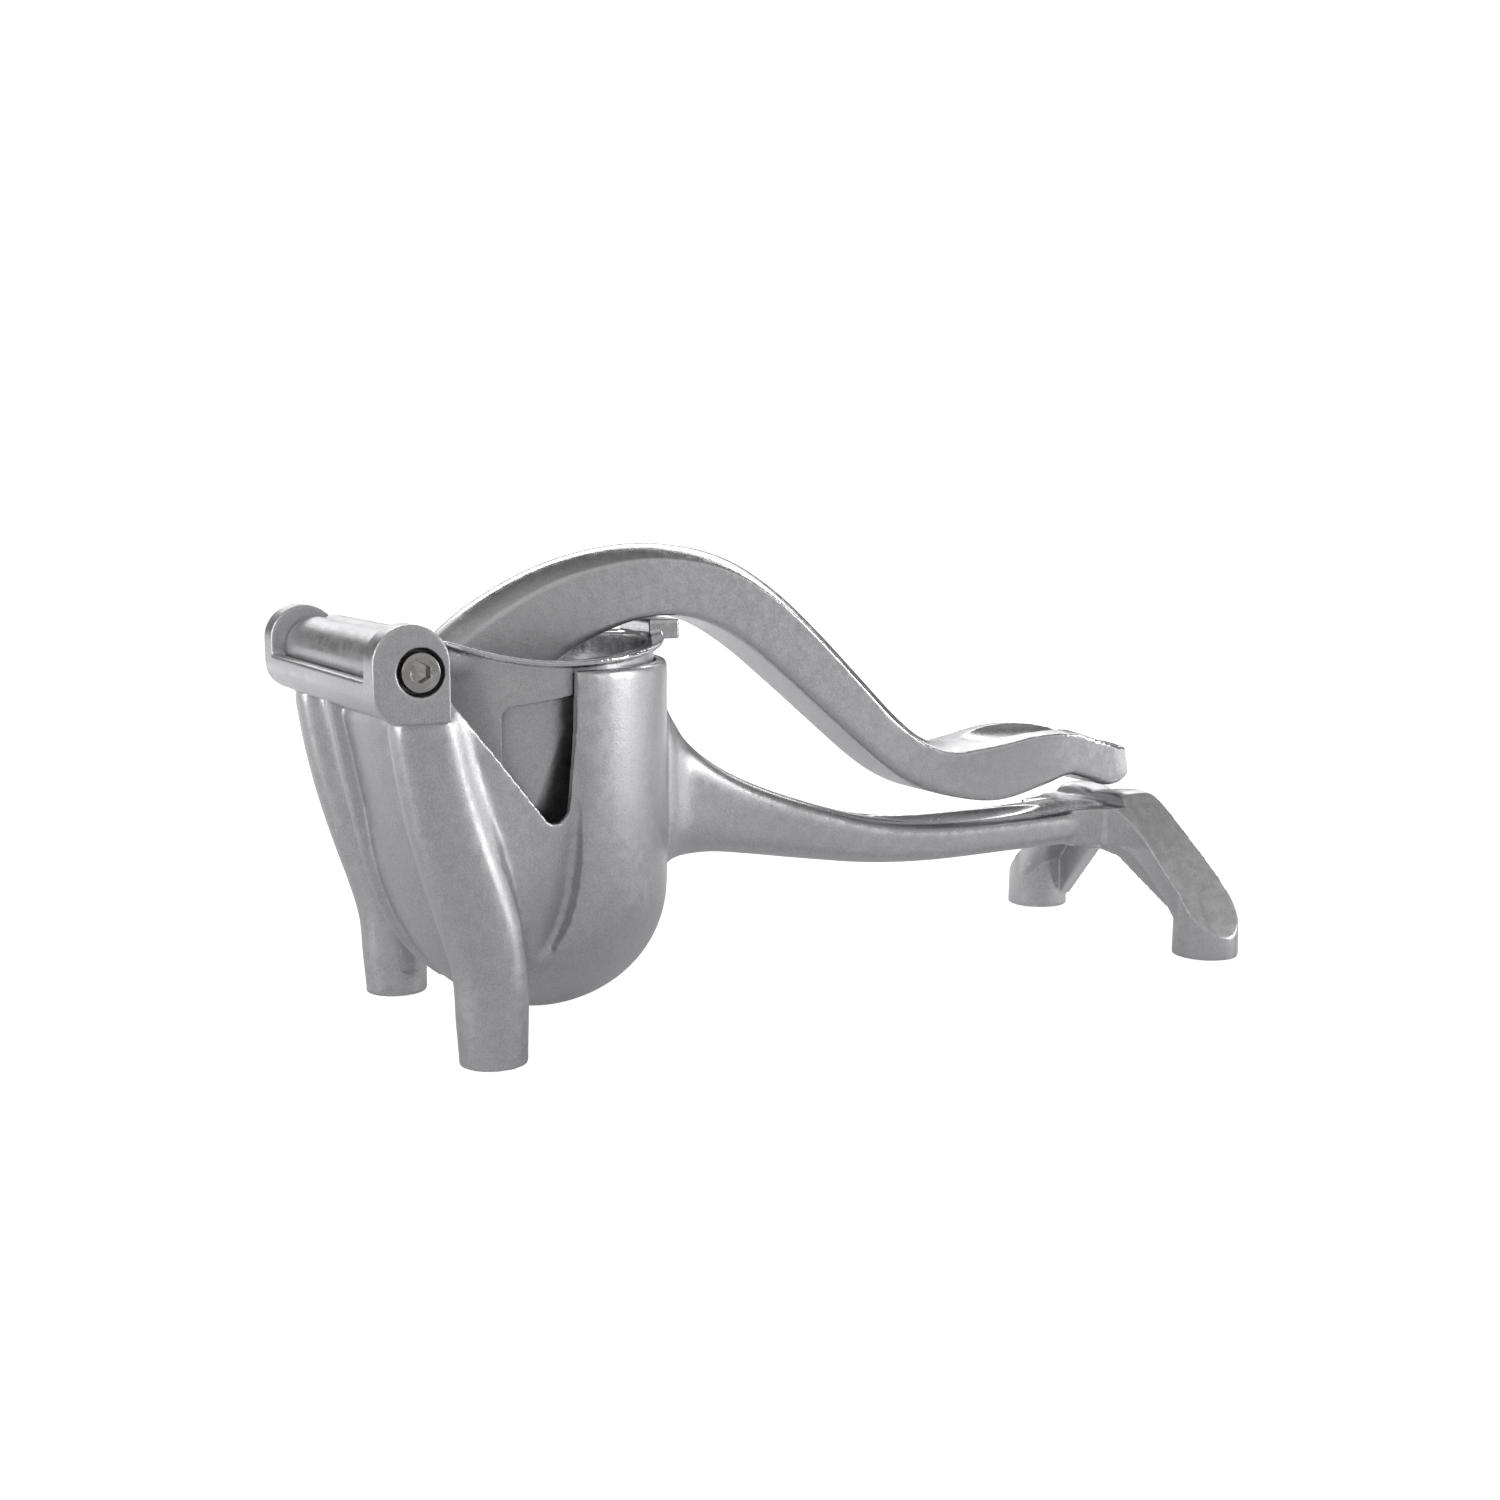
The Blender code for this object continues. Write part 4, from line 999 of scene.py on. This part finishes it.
def soft_box(name, turn, rise, distance, width, height, power):
    """A soft light aimed at the press, turned from the camera's direction: right is positive."""
    turn, rise = radians(turn), radians(rise)
    flat = TO_CAMERA * cos(turn) + CAMERA_RIGHT * sin(turn)
    direction = flat * cos(rise) + Vector((0, 0, 1)) * sin(rise)
    data = bpy.data.lights.new(name, "AREA")
    data.shape = "RECTANGLE"
    data.size, data.size_y = width, height
    data.energy = power
    lamp = bpy.data.objects.new(name, data)
    aim = DATUM + Vector(LIGHT_AIM) * MM
    lamp.location = aim + direction * distance
    lamp.rotation_mode = "QUATERNION"
    lamp.rotation_quaternion = (-direction).to_track_quat("-Z", "Y")
    bpy.context.scene.collection.objects.link(lamp)


def build_camera():
    data = bpy.data.cameras.new("camera")
    data.lens = CAMERA_LENS
    data.sensor_width = 36.0
    data.clip_start = 0.01
    camera = bpy.data.objects.new("camera", data)
    bpy.context.scene.collection.objects.link(camera)
    forward = Vector((sin(HEADING) * cos(TILT), cos(HEADING) * cos(TILT), -sin(TILT)))
    up = CAMERA_RIGHT.cross(forward)
    pose = Matrix((CAMERA_RIGHT, up, -forward)).transposed().to_4x4()
    pose.translation = DATUM + Vector(CAMERA_PLACE) * MM
    camera.matrix_world = pose
    bpy.context.scene.camera = camera


# ---------------------------------------------------------------- the press

cast = metal("cast_aluminium_look", (0.66, 0.655, 0.665), (0.86, 0.86, 0.87), (0.54, 0.535, 0.55),
             0.40, 0.55, 0.22)
basket_metal = metal("basket_aluminium_look", (0.68, 0.68, 0.69), (0.9, 0.9, 0.91), (0.56, 0.56, 0.57),
                     0.34, 0.45, 0.3)
steel = metal("hinge_steel_look", (0.52, 0.51, 0.50), (0.74, 0.73, 0.71), (0.42, 0.41, 0.40),
              0.26, 0.2, 0.1)

pot = build_pot()
thin_out(pot)
give_filed(pot, pot_filed)
lever = build_lever()
thin_out(lever)
give_filed(lever, lever_filed)
basket = build_basket()
thin_out(basket)
give_filed(basket, basket_filed)

finish_piece(pot, cast, "base", ["pot_body"])
finish_piece(lever, cast, "lever", ["press_lever"])
finish_piece(basket, basket_metal, "base", ["strainer_basket"])
for item, cad_node in ((build_bolt(), "hinge_bolt"), (build_nut(), "hinge_nut")):
    finish_piece(item, steel, "base", [cad_node])
    item.data.set_sharp_from_angle(angle=0.6)
for cad_node in ("near_thrust_washer", "far_thrust_washer"):
    washer = frame["nodes"][cad_node]
    washer.data.materials.clear()
    washer.data.materials.append(steel)

build_stage()
build_world()
soft_box("right_box", 92.0, 10.0, 0.9, 0.16, 0.36, 1.5)
soft_box("left_box", -62.0, 14.0, 0.9, 0.16, 0.8, 3.0)
soft_box("back_box", 178.0, 31.0, 1.0, 1.5, 0.3, 4.5)
build_camera()
bpy.context.scene.view_settings.view_transform = "Standard"
